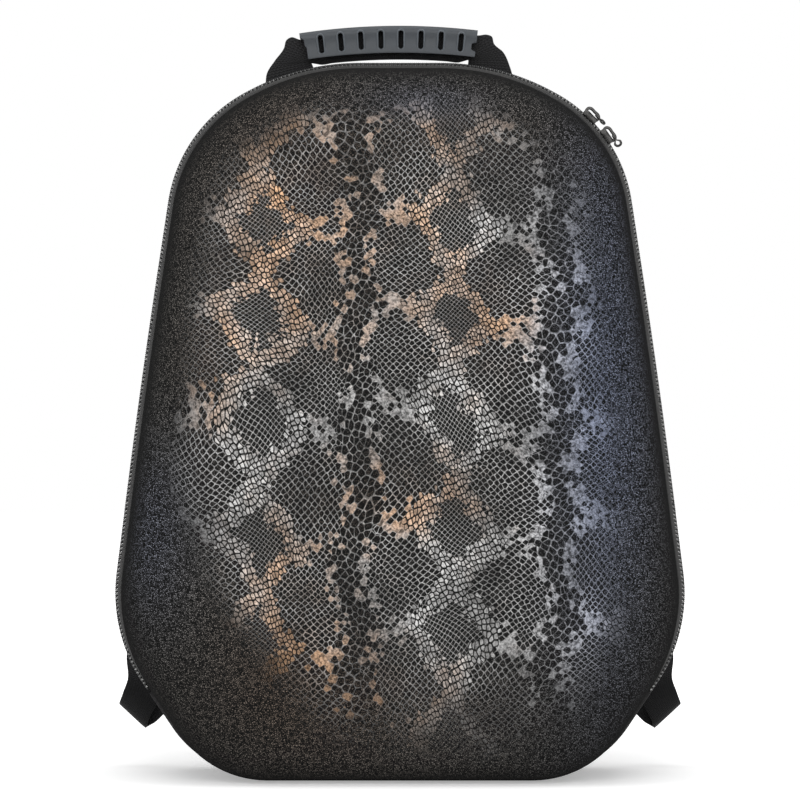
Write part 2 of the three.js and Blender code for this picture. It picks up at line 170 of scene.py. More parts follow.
def spaced(points, count):
    """Points at equal steps along a chain."""
    knots = chord_knots(points)
    at = np.linspace(0, knots[-1], count)
    return np.stack([np.interp(at, knots, column) for column in points.T], -1)


def rounded_loop(corners, samples=12):
    """A polygon with rounded corners (x, z, radius). Each corner becomes an arc whose centre lies on the
    bisector at radius / sin(half the corner's angle), between the points where it meets the two sides."""
    corners = np.asarray(corners, float)
    spots, radius = corners[:, :2], corners[:, 2:]
    back = unit(np.roll(spots, 1, 0) - spots)
    ahead = unit(np.roll(spots, -1, 0) - spots)
    half = np.arccos((back * ahead).sum(1, keepdims=True)) / 2
    centre = spots + unit(back + ahead) * radius / np.sin(half)
    start = spots + back * radius / np.tan(half) - centre
    end = spots + ahead * radius / np.tan(half) - centre
    first = np.arctan2(start[:, 1:], start[:, :1])
    crossed = start[:, :1] * end[:, 1:] - start[:, 1:] * end[:, :1]
    swing = np.arctan2(crossed, (start * end).sum(1, keepdims=True))
    turn = first + swing * np.linspace(0, 1, samples)
    arcs = centre[:, None] + radius[..., None] * np.stack([np.cos(turn), np.sin(turn)], -1)
    return arcs.reshape(-1, 2)


def closed(loop):
    """A loop with its first point repeated at the end."""
    return np.concatenate([loop, loop[:1]])


def loop_ways(path):
    """Direction along a closed loop at each of its points, from the neighbours on both sides."""
    return closed(unit(np.roll(path[:-1], -1, 0) - np.roll(path[:-1], 1, 0)))


def oval(wide, tall, count, power=1.0):
    """A closed ring: cosine and sine raised to a power, where 1 is an ellipse and less is boxier."""
    turn = np.linspace(0, 2 * np.pi, count + 1) + np.pi / count
    ring = np.stack([np.cos(turn), np.sin(turn)], -1)
    return np.sign(ring) * np.abs(ring) ** power * (wide / 2, tall / 2)


def sweep(spots, side, out, profile):
    """A profile at each spot of a path: its first number goes along side, and its second along out."""
    return spots[:, None] + profile[None, :, :1] * side[:, None] + profile[None, :, 1:] * out[:, None]


def capped(rings):
    """Rings with a pole at each end, in the middle of the end ring."""
    poles = [np.broadcast_to(ring.mean(0), ring.shape) for ring in (rings[0], rings[-1])]
    return np.concatenate([poles[0][None], rings, poles[1][None]])


def strip_uv(points):
    """Lengths along the rows and round the columns of a grid, in metres, from its middle row and column."""
    along = chord_knots(points[:, points.shape[1] // 2])
    across = chord_knots(points[points.shape[0] // 2])
    return np.stack(np.meshgrid(along, across, indexing="ij"), -1)


# %% [markdown]
# ## Camera, light and floor
# The photograph is a level front view from a few metres away with a white sweep behind. A long lens at the
# same distance gives the same flat perspective. A large softbox in front lights the print evenly, a second
# one above whitens the floor, and two faint strips behind part the sides of the bag from the backdrop.

# %% Camera at the photograph's place
CAMERA_DISTANCE = 3.0
CAMERA_HEIGHT = 0.2528
FIELD_WIDTH = 0.539
SENSOR = 36.0
ZIP_Y = 1.5 * MM

camera_data = bpy.data.cameras.new("camera")
camera_data.sensor_width = SENSOR
camera_data.lens = SENSOR * CAMERA_DISTANCE / FIELD_WIDTH
camera = bpy.data.objects.new("camera", camera_data)
camera.location = (0, ZIP_Y - CAMERA_DISTANCE, CAMERA_HEIGHT)
camera.rotation_euler = (np.pi / 2, 0, 0)
bpy.context.scene.collection.objects.link(camera)
bpy.context.scene.camera = camera
bpy.context.scene.view_settings.view_transform = "Standard"
print("lens", round(camera_data.lens, 1), "mm")

# %% Softboxes
SOFTBOXES = (  # name, place, aim, width, height, watts
    ("front", (0.0, -2.6, 1.3), (0, 0, 0.25), 2.6, 1.6, 58),
    ("above", (0.0, -0.2, 2.2), (0, 0.0, 0), 2.4, 2.0, 36),
    ("strip_left", (-1.5, 0.7, 0.5), (-0.15, 0, 0.25), 0.4, 1.4, 2),
    ("strip_right", (1.5, 0.7, 0.5), (0.15, 0, 0.25), 0.4, 1.4, 2),
)


def softbox(name, place, aim, wide, tall, watts):
    """A rectangular light that looks from its place at its aim."""
    light = bpy.data.lights.new(name, "AREA")
    light.shape = "RECTANGLE"
    light.size, light.size_y, light.energy = wide, tall, watts
    lamp = bpy.data.objects.new(name, light)
    lamp.location = place
    away = Vector(place) - Vector(aim)
    lamp.rotation_euler = away.to_track_quat("Z", "Y").to_euler()
    bpy.context.scene.collection.objects.link(lamp)


for row in SOFTBOXES:
    softbox(*row)
print("softboxes:", len(SOFTBOXES))

# %% [markdown]
# ## Writing shaders as sums
# A finish is a small network of nodes. Wiring it by hand hides the maths, so one class wraps a socket and
# lets it be added and multiplied like a number. Each operator adds one Math node.


# %% A socket that does sums, and a finish that holds its nodes
MIX_INPUTS, MIX_RESULT = (0, 6, 7), 2  # sockets of a Mix node for colours: factor, both colours; result


class Wire:
    """A node's output. Operators on it add Math nodes to the same finish."""

    def __init__(self, finish, socket):
        self.finish = finish
        self.socket = socket

    def maths(self, operation, *terms):
        return self.finish.add("ShaderNodeMath", {"operation": operation}, dict(enumerate(terms)))

    def __add__(self, other):
        return self.maths("ADD", self, other)

    __radd__ = __add__

    def __sub__(self, other):
        return self.maths("SUBTRACT", self, other)

    def __rsub__(self, other):
        return self.maths("SUBTRACT", other, self)

    def __mul__(self, other):
        return self.maths("MULTIPLY", self, other)

    __rmul__ = __mul__

    def __truediv__(self, other):
        return self.maths("DIVIDE", self, other)

    def fold(self, span):
        """Distance to the nearest whole multiple of twice the span."""
        return self.maths("PINGPONG", self, span)

    def wrap(self, low, high):
        """The number moved by whole spans until it lies between low and high."""
        return self.maths("WRAP", self, high, low)

    def sine(self):
        return self.maths("SINE", self)

    def size(self):
        return self.maths("ABSOLUTE", self)

    def most(self, other):
        return self.maths("MAXIMUM", self, other)

    def below(self, other):
        return self.maths("LESS_THAN", self, other)

    def rise(self, low, high):
        """0 at low and under, 1 at high and over, smooth between."""
        values = {"Value": self, "From Min": low, "From Max": high}
        return self.finish.add("ShaderNodeMapRange", {"interpolation_type": "SMOOTHSTEP"}, values)


class Finish:
    """A material with one Principled shader, and the ways to add nodes in front of it."""

    def __init__(self, name, **constants):
        self.material = bpy.data.materials.new(name)
        self.material.use_nodes = True
        self.tree = self.material.node_tree
        self.shader = self.tree.nodes["Principled BSDF"]
        for socket, value in constants.items():
            self.shader.inputs[socket.replace("_", " ")].default_value = value

    def add(self, kind, settings=None, values=None, output=0):
        """Adds a node: its settings first, then a value or a link for each named or numbered socket."""
        node = self.tree.nodes.new(kind)
        for name, value in (settings or {}).items():
            setattr(node, name, value)
        for socket, value in (values or {}).items():
            if isinstance(value, Wire):
                self.tree.links.new(value.socket, node.inputs[socket])
            else:
                node.inputs[socket].default_value = value
        return Wire(self, node.outputs[output])

    def feed(self, **wires):
        """Links wires to the shader's sockets."""
        for socket, wire in wires.items():
            self.tree.links.new(wire.socket, self.shader.inputs[socket.replace("_", " ")])
        return self.material

    def place(self):
        """Object coordinates, in metres."""
        return self.add("ShaderNodeTexCoord", output="Object")

    def weave_place(self):
        """The piece's own lengths along and across, in metres."""
        return self.add("ShaderNodeUVMap", {"uv_map": "weave"})

    def split(self, vector):
        parts = self.add("ShaderNodeSeparateXYZ", values={0: vector})
        return [Wire(self, socket) for socket in parts.socket.node.outputs]

    def join(self, *numbers):
        return self.add("ShaderNodeCombineXYZ", values=dict(enumerate(numbers)))

    def scaled(self, vector, factor):
        return self.add("ShaderNodeVectorMath", {"operation": "SCALE"}, {0: vector, "Scale": factor})

    def stretched(self, vector, factors):
        return self.add("ShaderNodeVectorMath", {"operation": "MULTIPLY"}, {0: vector, 1: factors})

    def moved(self, vector, offset):
        return self.add("ShaderNodeVectorMath", {"operation": "ADD"}, {0: vector, 1: offset})

    def turned(self, vector, angle):
        """A vector turned about Z."""
        values = {"Vector": vector, "Angle": angle}
        return self.add("ShaderNodeVectorRotate", {"rotation_type": "Z_AXIS"}, values)

    def noise(self, vector, size, detail=2.0, output=0):
        """Smooth noise whose lumps are about that many metres across."""
        values = {"Vector": vector, "Scale": 1 / size, "Detail": detail}
        return self.add("ShaderNodeTexNoise", None, values, output)

    def mix(self, factor, first, second):
        """A colour between two colours."""
        values = dict(zip(MIX_INPUTS, (factor, first, second)))
        return self.add("ShaderNodeMix", {"data_type": "RGBA"}, values, MIX_RESULT)

    def cells(self, feature, values, dimensions="3D", output=0):
        """A Voronoi texture: distance to a cell's edge, or what belongs to the nearest cell."""
        settings = {"feature": feature, "voronoi_dimensions": dimensions}
        return self.add("ShaderNodeTexVoronoi", settings, values, output)

    def reading(self, name):
        """A number stored on the piece's points."""
        return self.add("ShaderNodeAttribute", {"attribute_name": name}, output="Fac")

    def bump(self, height, depth, strength=1.0):
        """A normal tilted by a height between 0 and 1 that stands for that many metres."""
        return self.add("ShaderNodeBump", None, {"Height": height, "Distance": depth, "Strength": strength})


def tone(red, green, blue):
    """A colour as seen on screen, 0 to 255, as the linear values that a shader takes."""
    share = np.array([red, green, blue]) / 255
    linear = np.where(share <= 0.04045, share / 12.92, ((share + 0.055) / 1.055) ** 2.4)
    return (*linear.tolist(), 1.0)


# %% White room and floor
FLOOR_SIZE = 14.0
FLOOR_DROP = 0.2 * MM  # the floor lies this far below the base
FLOOR_GLOW = 0.36, 1.0  # near the bag, where its shadow lies, and far off, at the backdrop
GLOW_REACH = 0.3, 1.1  # distances from the bag at which they hold
ROOM_LIGHT = 0.2

world = bpy.data.worlds.new("white_room")
world.use_nodes = True
bpy.context.scene.world = world
backdrop = world.node_tree.nodes["Background"]
backdrop.inputs["Color"].default_value = (1, 1, 1, 1)
room_fill = world.node_tree.nodes.new("ShaderNodeBackground")
room_fill.inputs["Color"].default_value = (1, 1, 1, 1)
room_fill.inputs["Strength"].default_value = ROOM_LIGHT
seen = world.node_tree.nodes.new("ShaderNodeLightPath")
either = world.node_tree.nodes.new("ShaderNodeMixShader")
room_links = world.node_tree.links
room_links.new(seen.outputs["Is Camera Ray"], either.inputs[0])
room_links.new(room_fill.outputs[0], either.inputs[1])
room_links.new(backdrop.outputs[0], either.inputs[2])
room_links.new(either.outputs[0], world.node_tree.nodes["World Output"].inputs["Surface"])

floor_finish = Finish("pale_floor", Base_Color=(0.9, 0.9, 0.9, 1), Roughness=0.9, Specular_IOR_Level=0.0,
                      Emission_Strength=1.0)
away = floor_finish.add("ShaderNodeVectorMath", {"operation": "LENGTH"}, {0: floor_finish.place()}, "Value")
near_glow, far_glow = ((glow, glow, glow, 1) for glow in FLOOR_GLOW)
floor_finish.feed(Emission_Color=floor_finish.mix(away.rise(*GLOW_REACH), near_glow, far_glow))
floor_corners = np.array([[(x, y, 0) for y in (-0.5, 0.5)] for x in (-0.5, 0.5)]) * FLOOR_SIZE
floor = bpy.data.objects.new("floor", grid_mesh("floor", floor_corners - (0, 0, FLOOR_DROP)))
floor.data.materials.append(floor_finish.material)
bpy.context.scene.collection.objects.link(floor)
print("floor", FLOOR_SIZE, "m across")

# %% [markdown]
# ## Outline of the bag
# Seen from the front, the bag is a polygon with large rounded corners. All cross sections of both halves,
# the zip and the bottom strip follow this one closed line, so it is worked out once, from the middle of the
# base round the right side, with the direction that points outwards at every place.

# %% The outline, by its length
# Each corner of the right side: place across, level and radius, in mm.
OUTLINE_CORNERS = (
    (131.2, 0, 74), (196.2, 96, 108), (174.4, 267, 6000), (148.7, 436, 100), (67.3, 480, 158))
OUTLINE_ARC, OUTLINE_POINTS = 60, 6001  # points of each corner, and of the whole line
HALF_WIDTH = 191.2 * MM
HEIGHT = 480 * MM
BOARD = 4 * MM

right_corners = np.array(OUTLINE_CORNERS) * MM
left_corners = right_corners[::-1] * (-1, 1, 1)
outline_loop = rounded_loop(np.vstack([right_corners, left_corners]), OUTLINE_ARC)
outline_dense = spaced(np.vstack([[(0, 0)], outline_loop, [(0, 0)]]), OUTLINE_POINTS)
outline_knots = chord_knots(outline_dense)
OUTLINE_LENGTH = outline_knots[-1]
outline_ways = unit(np.gradient(outline_dense, axis=0))
print("outline", round(OUTLINE_LENGTH, 3), "m long")


def outline_at(length):
    """Spot in the zip's plane, way along and way out, at lengths from the middle of the base."""
    wrapped = np.mod(length, OUTLINE_LENGTH)
    x, z = (np.interp(wrapped, outline_knots, column) for column in outline_dense.T)
    ax, az = (np.interp(wrapped, outline_knots, column) for column in outline_ways.T)
    flat = np.zeros_like(x)
    along = unit(np.stack([ax, flat, az], -1))
    return np.stack([x, flat + ZIP_Y, z], -1), along, np.stack([along[..., 2], flat, -along[..., 0]], -1)


def length_at_height(height):
    """Length along the right side of the outline at which it reaches a height."""
    rising = slice(0, np.argmax(outline_dense[:, 1]))
    return np.interp(height, outline_dense[rising, 1], outline_knots[rising])


# %% [markdown]
# ## The two halves
# Each half is moulded: heat softens a flat sheet of foam board and a mould presses it into a dome. A loft
# through a few cross sections gives that form. A smooth curve through the rows keeps the dome free of
# facets. The loft turns over at the rim and comes back inside, so the wall has its real thickness of 4 mm.

# %% Sections of the halves
FRONT_ROWS = np.array((  # depth from the zip, half width, lowest and highest level, from the rim outwards
    (13, 186.4, 0, 475.5), (40, 184, 0, 473), (66, 178, 4, 467), (85, 166, 13, 455), (97, 147, 33, 434),
    (104, 120, 66, 400), (108.5, 80, 115, 350), (111, 36, 170, 285), (111.7, 0, 228, 228))) * MM
BACK_ROWS = np.array((
    (13, 186.4, 0, 475.5), (40, 184.5, 0, 474), (55, 180, 3, 470), (64, 170, 12, 460), (68, 157, 26, 446),
    (69, 147, 36, 436), (69.2, 70, 130, 336), (69.2, 0, 228, 228))) * MM
RING_POINTS = 300
OUTER_STEPS = 90
INNER_STEPS = 16
RIM_STEPS = 7

ring_spots = outline_at(np.linspace(0, OUTLINE_LENGTH, RING_POINTS + 1))[0][:, (0, 2)]


def meridian(rows, steps):
    """Rows from the rim to the middle, evenly spaced by how far the wall runs in depth and half width."""
    knots = chord_knots(rows[:, :2])
    return hermite(knots, rows, np.linspace(0, knots[-1], steps))


def shrunk(rows, inset):
    """Rows drawn in towards the last row's middle, by an inset at the rim and by its share further in."""
    middle = rows[-1] * (0, 1, 1, 1)
    share = 1 - inset / rows[0, 1]
    return (rows - middle) * (1, share, share, share) + middle - (inset, 0, 0, 0)


def half_wall(rows):
    """Outer wall from the middle to the rim, a half-round rim, and the inner wall back to the middle."""
    turn = np.linspace(0, np.pi, RIM_STEPS)[1:-1]
    rim_insets = BOARD / 2 * (1 - np.cos(turn))
    rim_rows = np.array([shrunk(rows, inset)[0] for inset in rim_insets])
    rim_rows[:, 0] = rows[0, 0] - BOARD / 2 * np.sin(turn)
    inner = shrunk(meridian(rows, INNER_STEPS), BOARD)
    inner[0, 0] = rows[0, 0]
    return np.vstack([meridian(rows, OUTER_STEPS)[::-1], rim_rows, inner])


def half_points(wall, facing):
    """The outline narrowed to each row's half width and stretched between its lowest and highest level."""
    depth, half, base, top = wall.T[..., None]
    x = ring_spots[:, 0] * half / HALF_WIDTH
    z = base + ring_spots[:, 1] * (top - base) / HEIGHT
    return np.stack([x, ZIP_Y + facing * depth + np.zeros_like(x), z], -1)


front_points = half_points(half_wall(FRONT_ROWS), -1)
back_points = half_points(half_wall(BACK_ROWS), 1)
print("front dome from", front_points[..., 1].min().round(4), "to", front_points[..., 1].max().round(4))

# %% [markdown]
# ## Dark cloth
# Both halves are covered in the same dark cloth, with a fine pebbled grain. Cells of a Voronoi texture,
# about a millimetre across and with rounded tops, give pebbles that look right on every side, because they
# are solid in space and need no unwrapping.


# %% Pebbled cloth of the back half
def pebbles(finish, vector, size):
    """Height of rounded pebbles, 1 in the middle and 0 at the edge, and a random number for each."""
    values = {"Vector": vector, "Scale": 1 / size}
    edge = finish.cells("DISTANCE_TO_EDGE", values)
    shade = finish.cells("F1", values, output="Color")
    return edge.rise(0.0, 0.35), finish.split(shade)[0]


def pebbled_cloth(name, dark, light):
    finish = Finish(name, Specular_IOR_Level=0.12)
    place = finish.place()
    height, chance = pebbles(finish, place, 1.1 * MM)
    clouds = finish.noise(place, 0.06)
    share = chance * 0.55 + clouds * 0.45
    colour = finish.mix(share * (0.4 + 0.6 * height), dark, light)
    return finish.feed(Base_Color=colour, Roughness=0.72 + 0.2 * chance,
                       Normal=finish.bump(height, 0.00022, 0.7))


plain_cloth = pebbled_cloth("plain_cloth", tone(20, 20, 21), tone(62, 61, 61))
add_piece("back_half", back_points, plain_cloth, ["back_shell"])

# %% [markdown]
# ## The snakeskin print
# The print is foil pressed on the cloth: copper, silver and blue-grey scales that fade out towards the rim.
# The tall blue band on the right side of the dome is a painted reflection of a softbox in the foil.
# A python's skin repeats in diamonds. Down the middle of each diamond column lie fine square scales drawn
# as thin bright lines. Round them runs a band of bright, filled scales, which cross between the diamonds.
# Outside lies a net of larger dark scales, and at the dark spine the scales are largest. Each of the four
# is a Voronoi texture of its own size, and a number that grows from the middle of the nearest diamond picks
# between them. It is read in the middle of each scale, so that the borders follow whole scales. The copper
# lies mostly in filled scales.

# %% Where the foil lies, and its colours
FOIL_DEPTH = (80 * MM, 108 * MM)  # no foil nearer to the zip than the first, full foil beyond the second
FOIL_BASE = (-60 * MM, 110 * MM)  # and the same for the height above the base
FOIL_RIGHT = (152 * MM, 124 * MM)  # and for the place across, because the print runs out on the right
FOIL_BEYOND = 0.35  # share of the foil that is left there
FOIL_CORNER = (-85 * MM, -20 * MM)  # and for the height plus CORNER_SLOPE times the place across
CORNER_SLOPE = 1.55  # which leaves the lower left corner bare
RIM_SHADE_DEPTH = (50 * MM, 85 * MM)  # painted shade: the light specks of the grain fade nearer to the zip, and are strong further out
LOW_CORNER_SHADE = (-250 * MM, 20 * MM)  # and more painted shade, fading them in the lower corners: height less the distance aside
FOIL_TINTS_AND_SHEEN = {  # soft patches of each colour, the foil's own and in part painted sheen (the tall blue patch on the right paints a softbox's reflection): x, z, reach across, reach up, strength, in mm
    "copper": ((-78, 371, 49, 85, 0.6), (13, 358, 59, 72, 0.45), (65, 300, 30, 40, 0.45),
               (-124, 267, 20, 45, 0.5), (-50, 290, 65, 28, 0.2), (0, 189, 59, 33, 0.6),
               (-72, 111, 46, 72, 0.55), (-40, 50, 90, 45, 0.5), (62, 368, 22, 24, -0.2),
               (20, 428, 90, 22, 0.3)),
    "blue": ((134, 250, 33, 180, 1.0), (-165, 165, 26, 55, 0.45), (15, 449, 40, 13, 0.35)),
}


def foil_readings(points):
    """How much foil lies at each point of the dome, how near it is to the rim, how strongly the grain shows
    there, faded as painted shade at the rim and in the lower corners, and how copper or blue the print is.
    The colours are sums of round soft patches, of the foil's own colours and in part a painted sheen."""
    place, depth, level = points[..., 0], ZIP_Y - points[..., 1], points[..., 2]
    limits = (
        (depth, FOIL_DEPTH),
        (level, FOIL_BASE),
        (level + CORNER_SLOPE * place, FOIL_CORNER),
        (place, FOIL_RIGHT),
        (depth, RIM_SHADE_DEPTH),
        (level - np.abs(place), LOW_CORNER_SHADE),
    )
    shares = [np.clip((value - none) / (full - none), 0, 1) for value, (none, full) in limits]
    dome, base, corner, right, rim, low = shares
    readings = {"foil": dome * base * corner * (FOIL_BEYOND + (1 - FOIL_BEYOND) * right),
                "rim": 1 - rim, "grain": rim * low}
    x, z = place / MM, level / MM
    for colour, patches in FOIL_TINTS_AND_SHEEN.items():
        total = 0
        for across, up, wide, tall, strength in patches:
            total = total + strength * np.exp(-((x - across) / wide) ** 2 - ((z - up) / tall) ** 2)
        readings[colour] = np.clip(total, 0, 1)
    return readings


# %% The four kinds of scale
DIAMOND_X, DIAMOND_Z = 37 * MM, 305 * MM  # middle of one diamond
COLUMN_STEP = 65 * MM  # from a column of diamonds to the spine beside it
ROW_STEP = 34.5 * MM  # from the middle of a diamond to the crossing above it
ROW_SLANT = 0.26  # how far the rows sink for each step to the right
DIAMOND_WIDE = 27 * MM
LATTICE_REACH, BAND_REACH = 0.64, 1.22  # how far these zones go, where 1 joins a diamond's corners
BORDER_BEND = 17 * MM  # size of the bends in the borders of these zones
BORDER_RAGGED, BORDER_DRIFT = 0.25, 0.7  # how much a border changes from scale to scale, and in its bends
SPINE_START, SPINE_SPREAD = 47 * MM, 0.36  # where the spine begins, further out level with the crossings
BRIDGE_FADES = (  # aside, where the filled bridge begins and ends, and its height above or below
    (25 * MM, 31 * MM), (44 * MM, 54 * MM), (3 * MM, 14 * MM))
CORNER_CUT, CORNER_START = 0.3, 0.42  # how much the corners of a scale are rounded, and from where
WANDER = ((26 * MM, 4.5 * MM), (80 * MM, 22 * MM))  # sizes of the bends in the print, and their reach


def diamond_place(finish, place):
    """How far a place is aside of its diamond's middle, and above or below it along the slanted row."""
    x, z, _ = finish.split(place)
    aside = (x - DIAMOND_X).wrap(-COLUMN_STEP, COLUMN_STEP)
    return aside.size(), (z + ROW_SLANT * aside - DIAMOND_Z).fold(ROW_STEP)


def scales(finish, place, wide, tall, tilt, unevenness):
    """A Voronoi texture of scales: distance to a scale's edge, less near its corners to make it look round,
    three random numbers of each scale, and the place of its middle."""
    flat = finish.stretched(finish.turned(place, tilt), (1 / wide, 1 / tall, 0))
    values = {"Vector": flat, "Scale": 1.0, "Randomness": unevenness}
    edge = finish.cells("DISTANCE_TO_EDGE", values, "2D")
    cell = finish.cells("F1", values, "2D", "Color")
    reach, position = (Wire(finish, cell.socket.node.outputs[name]) for name in ("Distance", "Position"))
    middle = finish.turned(finish.stretched(position, (wide, tall, 0)), -tilt)
    return edge - CORNER_CUT * (reach - CORNER_START).most(0.0), finish.split(cell), middle


def within(finish, middle, chance, reach):
    """1 where a scale lies within a reach of its diamond's middle. The border is ragged, and lies further
    out in some places than in others."""
    aside, above = diamond_place(finish, middle)
    drift = finish.noise(middle, BORDER_BEND, 1.0) - 0.5
    away = aside / DIAMOND_WIDE + above / ROW_STEP + BORDER_RAGGED * (chance - 0.5) + BORDER_DRIFT * drift
    return away.below(reach)


def filled_scale(finish, middle, chance):
    """1 in the scales that foil fills: in a bridge from each diamond to the spine, and along the spine."""
    aside, above = diamond_place(finish, middle)
    begin, end, tall = BRIDGE_FADES
    bridge = aside.rise(*begin) * (1 - aside.rise(*end)) * (1 - above.rise(*tall))
    river = 1 - (aside - SPINE_START - SPINE_SPREAD * above).size().rise(1 * MM, 9 * MM)
    lumps = finish.noise(middle, 11 * MM, 1.0).rise(0.36, 0.64)
    blue = finish.reading("blue")
    share = bridge.most(river * (0.7 + 0.6 * blue)) * (0.2 + 0.8 * lumps)
    return chance.below(share * finish.reading("foil").rise(0.25, 0.7))


def laid(under, over, share):
    """One value laid over another, where its share is 1."""
    return under + share * (over - under)


def scale_pattern(finish, flat):
    """Brightness of the foil, and 1 where it fills whole scales: the net, then the spine, the band and the
    lattice laid over it."""
    rough = finish.noise(flat, 2.2 * MM, 3.0).rise(0.38, 0.56)
    edge, chance, middle = scales(finish, flat, 3.3 * MM, 3.3 * MM, np.pi / 4, 0.4)
    line = (1 - edge.rise(0.01, 0.11)) * (0.42 + 0.35 * chance[0])
    full = filled_scale(finish, middle, chance[2])
    light = line.most(full * (0.2 + 0.6 * rough))

    edge, chance, middle = scales(finish, flat, 4.2 * MM, 4.7 * MM, 0.6, 0.7)
    aside, above = diamond_place(finish, middle)
    in_spine = (SPINE_START + SPINE_SPREAD * above + 9 * MM * (chance[1] - 0.5)).below(aside)
    line = (1 - edge.rise(0.0, 0.09)) * (0.28 + 0.42 * chance[0]) * (0.5 + 0.5 * rough)
    spine_full = filled_scale(finish, middle, chance[2])
    light = laid(light, line.most(spine_full * (0.2 + 0.6 * rough)), in_spine)
    full = laid(full, spine_full, in_spine)

    edge, chance, middle = scales(finish, flat, 2.4 * MM, 4.0 * MM, -0.4, 0.65)
    band = edge.rise(0.07, 0.19) * (0.55 + 0.6 * chance[0])
    in_band = within(finish, middle, chance[1], BAND_REACH)
    light = laid(light, band, in_band)

    edge, chance, middle = scales(finish, flat, 2.5 * MM, 2.5 * MM, 0.68, 0.12)
    lattice = (1 - edge.rise(0.0, 0.11)) * 0.58
    in_lattice = within(finish, middle, chance[1], LATTICE_REACH)
    return laid(light, lattice, in_lattice), full.most(in_band) * (1 - in_lattice)


def snakeskin():
    """Foil in three colours over grained dark cloth: it wears away where its share on the dome falls."""
    finish = Finish("snakeskin_print", Specular_IOR_Level=0.0)
    solid = finish.place()
    x, _, z = finish.split(solid)
    flat = finish.join(x, z, 0)
    for size, reach in WANDER:
        step = finish.moved(finish.noise(solid, size, 0.0, "Color"), (-0.5, -0.5, -0.5))
        flat = finish.moved(flat, finish.scaled(step, reach))
    pattern, full = scale_pattern(finish, flat)

    foil, grain, copper, blue = (finish.reading(name) for name in ("foil", "grain", "copper", "blue"))
    wear = finish.noise(solid, 1.4 * MM, 2.0).rise(0.3, 0.7)
    shine = finish.noise(solid, 40 * MM, 1.0).rise(0.3, 0.7)
    keep = foil.rise(0.0, 1.0) * (0.5 + 0.5 * (foil * 2 - wear).rise(0.0, 0.6))
    light = pattern * keep * (0.48 + 0.47 * shine) * (0.45 + 0.75 * wear)
    patchy = finish.noise(solid, 16 * MM, 2.0)
    warm = (copper * (0.35 + 0.8 * full) + (patchy - 0.5) * 0.75).rise(0.05, 0.95)
    foil_colour = finish.mix(warm, tone(190, 189, 188), tone(216, 173, 136))
    # the blue is in part a painted reflection of a softbox, on the right side of the dome
    foil_colour = finish.mix(blue, foil_colour, tone(166, 175, 200))

    height, chance = pebbles(finish, finish.stretched(solid, (1, 0.55, 1)), 1.02 * MM)
    # painted shade: the light specks fade where the reading grain is low, at the rim and in the lower
    # corners, so these read darker
    specks = (height * (0.3 + 0.7 * chance)).rise(0.1, 0.85) * (1 - 0.75 * foil) * (0.1 + 0.9 * grain)
    cloth_tint = finish.mix(copper, tone(106, 104, 101), tone(118, 101, 87))
    cloth_tint = finish.mix(blue, cloth_tint, tone(126, 133, 154))
    # the cloth under the specks is a flat grey near the zip, where the painted shade takes the specks away
    plain = finish.mix(finish.reading("rim"), tone(20, 20, 20), tone(32, 32, 32))
    cloth = finish.mix(specks, plain, cloth_tint)
    colour = finish.mix(light, cloth, foil_colour)
    relief = light * 0.6 + height * (0.5 - 0.35 * foil)
    return finish.feed(Base_Color=colour, Roughness=0.7 - 0.2 * light, Metallic=0.2 * light,
                       Normal=finish.bump(relief, 0.00025, 0.7))


front_half = add_piece("front_half", front_points, snakeskin(), ["front_shell"])
store_readings(front_half.data, foil_readings(mesh_points(front_half.data)))

# %% [markdown]
# ## The zip
# A coil zip is two woven tapes with a nylon spiral sewn along each edge. Closed, the spirals lock into one
# row of small glossy loops, which shows as a beaded line round the bag. The tapes are strips along the
# outline with a slight crown. Every loop of the spiral is a bent bar of a few faces, alternately from the
# front and the back, all placed at once by adding one small template to an array of places. A row of light
# dots at the bend next to the tape is a painted highlight, strong on the sides of the bag and faint on top.
# Along the bottom, where the zip ends, a strip of cloth joins the halves, with its edges tucked in behind
# both rims.


# %% Woven zip tape
def woven_tape():
    """Threads at a slant, which change their slant from rib to rib as in a twill, and painted shade along
    the edge that lies in the groove under the rim.
    """
    finish = Finish("zip_tape_weave", Specular_IOR_Level=0.3, Sheen_Weight=0.1)
    along, across, _ = finish.split(finish.weave_place())
    rib = (across / (1.1 * MM)).fold(1.0)
    thread = ((along + rib * 0.8 * MM) * (2 * np.pi / (0.75 * MM))).sine() * 0.5 + 0.5
    height = thread * (0.4 + 0.6 * rib)
    fuzz = finish.noise(finish.place(), 6 * MM, 4.0)
    colour = finish.mix(height * 0.6 + fuzz * 0.4, tone(13, 13, 13), tone(52, 51, 50))
    # painted shade: the first few mm of the tape, next to the rim, are near black, as the groove between
    # tape and shell lies in shadow
    colour = finish.mix(across.rise(3.8 * MM, 5.2 * MM), tone(5, 5, 5), colour)
    return finish.feed(Base_Color=colour, Roughness=0.75 + 0.15 * fuzz,
                       Normal=finish.bump(height, 0.0002, 0.8))


ZIP_END_HEIGHT = 52 * MM
TAPE_STEPS = 420
zip_start = length_at_height(ZIP_END_HEIGHT)
zip_end = OUTLINE_LENGTH - zip_start
BACKWARDS = np.array((0.0, 1.0, 0.0))
TAPE_PROFILE = np.array((  # backwards from the middle of the zip, and out from the outline
    (10.6, -7.2), (10.7, -6.6), (10.3, -6.1), (8.9, -5.3), (8.0, -4.5), (6.4, -3.5), (4.2, -2.4),
    (2.9, -1.9), (2.5, -2.0), (2.5, -2.8), (2.8, -3.0), (4.6, -3.8), (6.6, -5.0), (7.8, -6.0),
    (9.4, -6.8), (10.6, -7.2))) * MM


def outline_strip(profile, start, end, steps):
    """A profile carried along the outline: its first number goes backwards, its second outwards."""
    spots, _, out = outline_at(np.linspace(start, end, steps))
    side = np.broadcast_to(BACKWARDS, out.shape)
    return capped(sweep(spots, side, out, profile))


tape_finish = woven_tape()
for place, facing in (("front", -1), ("back", 1)):
    strip = outline_strip(TAPE_PROFILE * (facing, 1), zip_start, zip_end, TAPE_STEPS)
    add_piece(f"zip_tape_{place}_weave", strip, tape_finish, [f"zip_tape_{place}"],
              uv=strip_uv(strip))

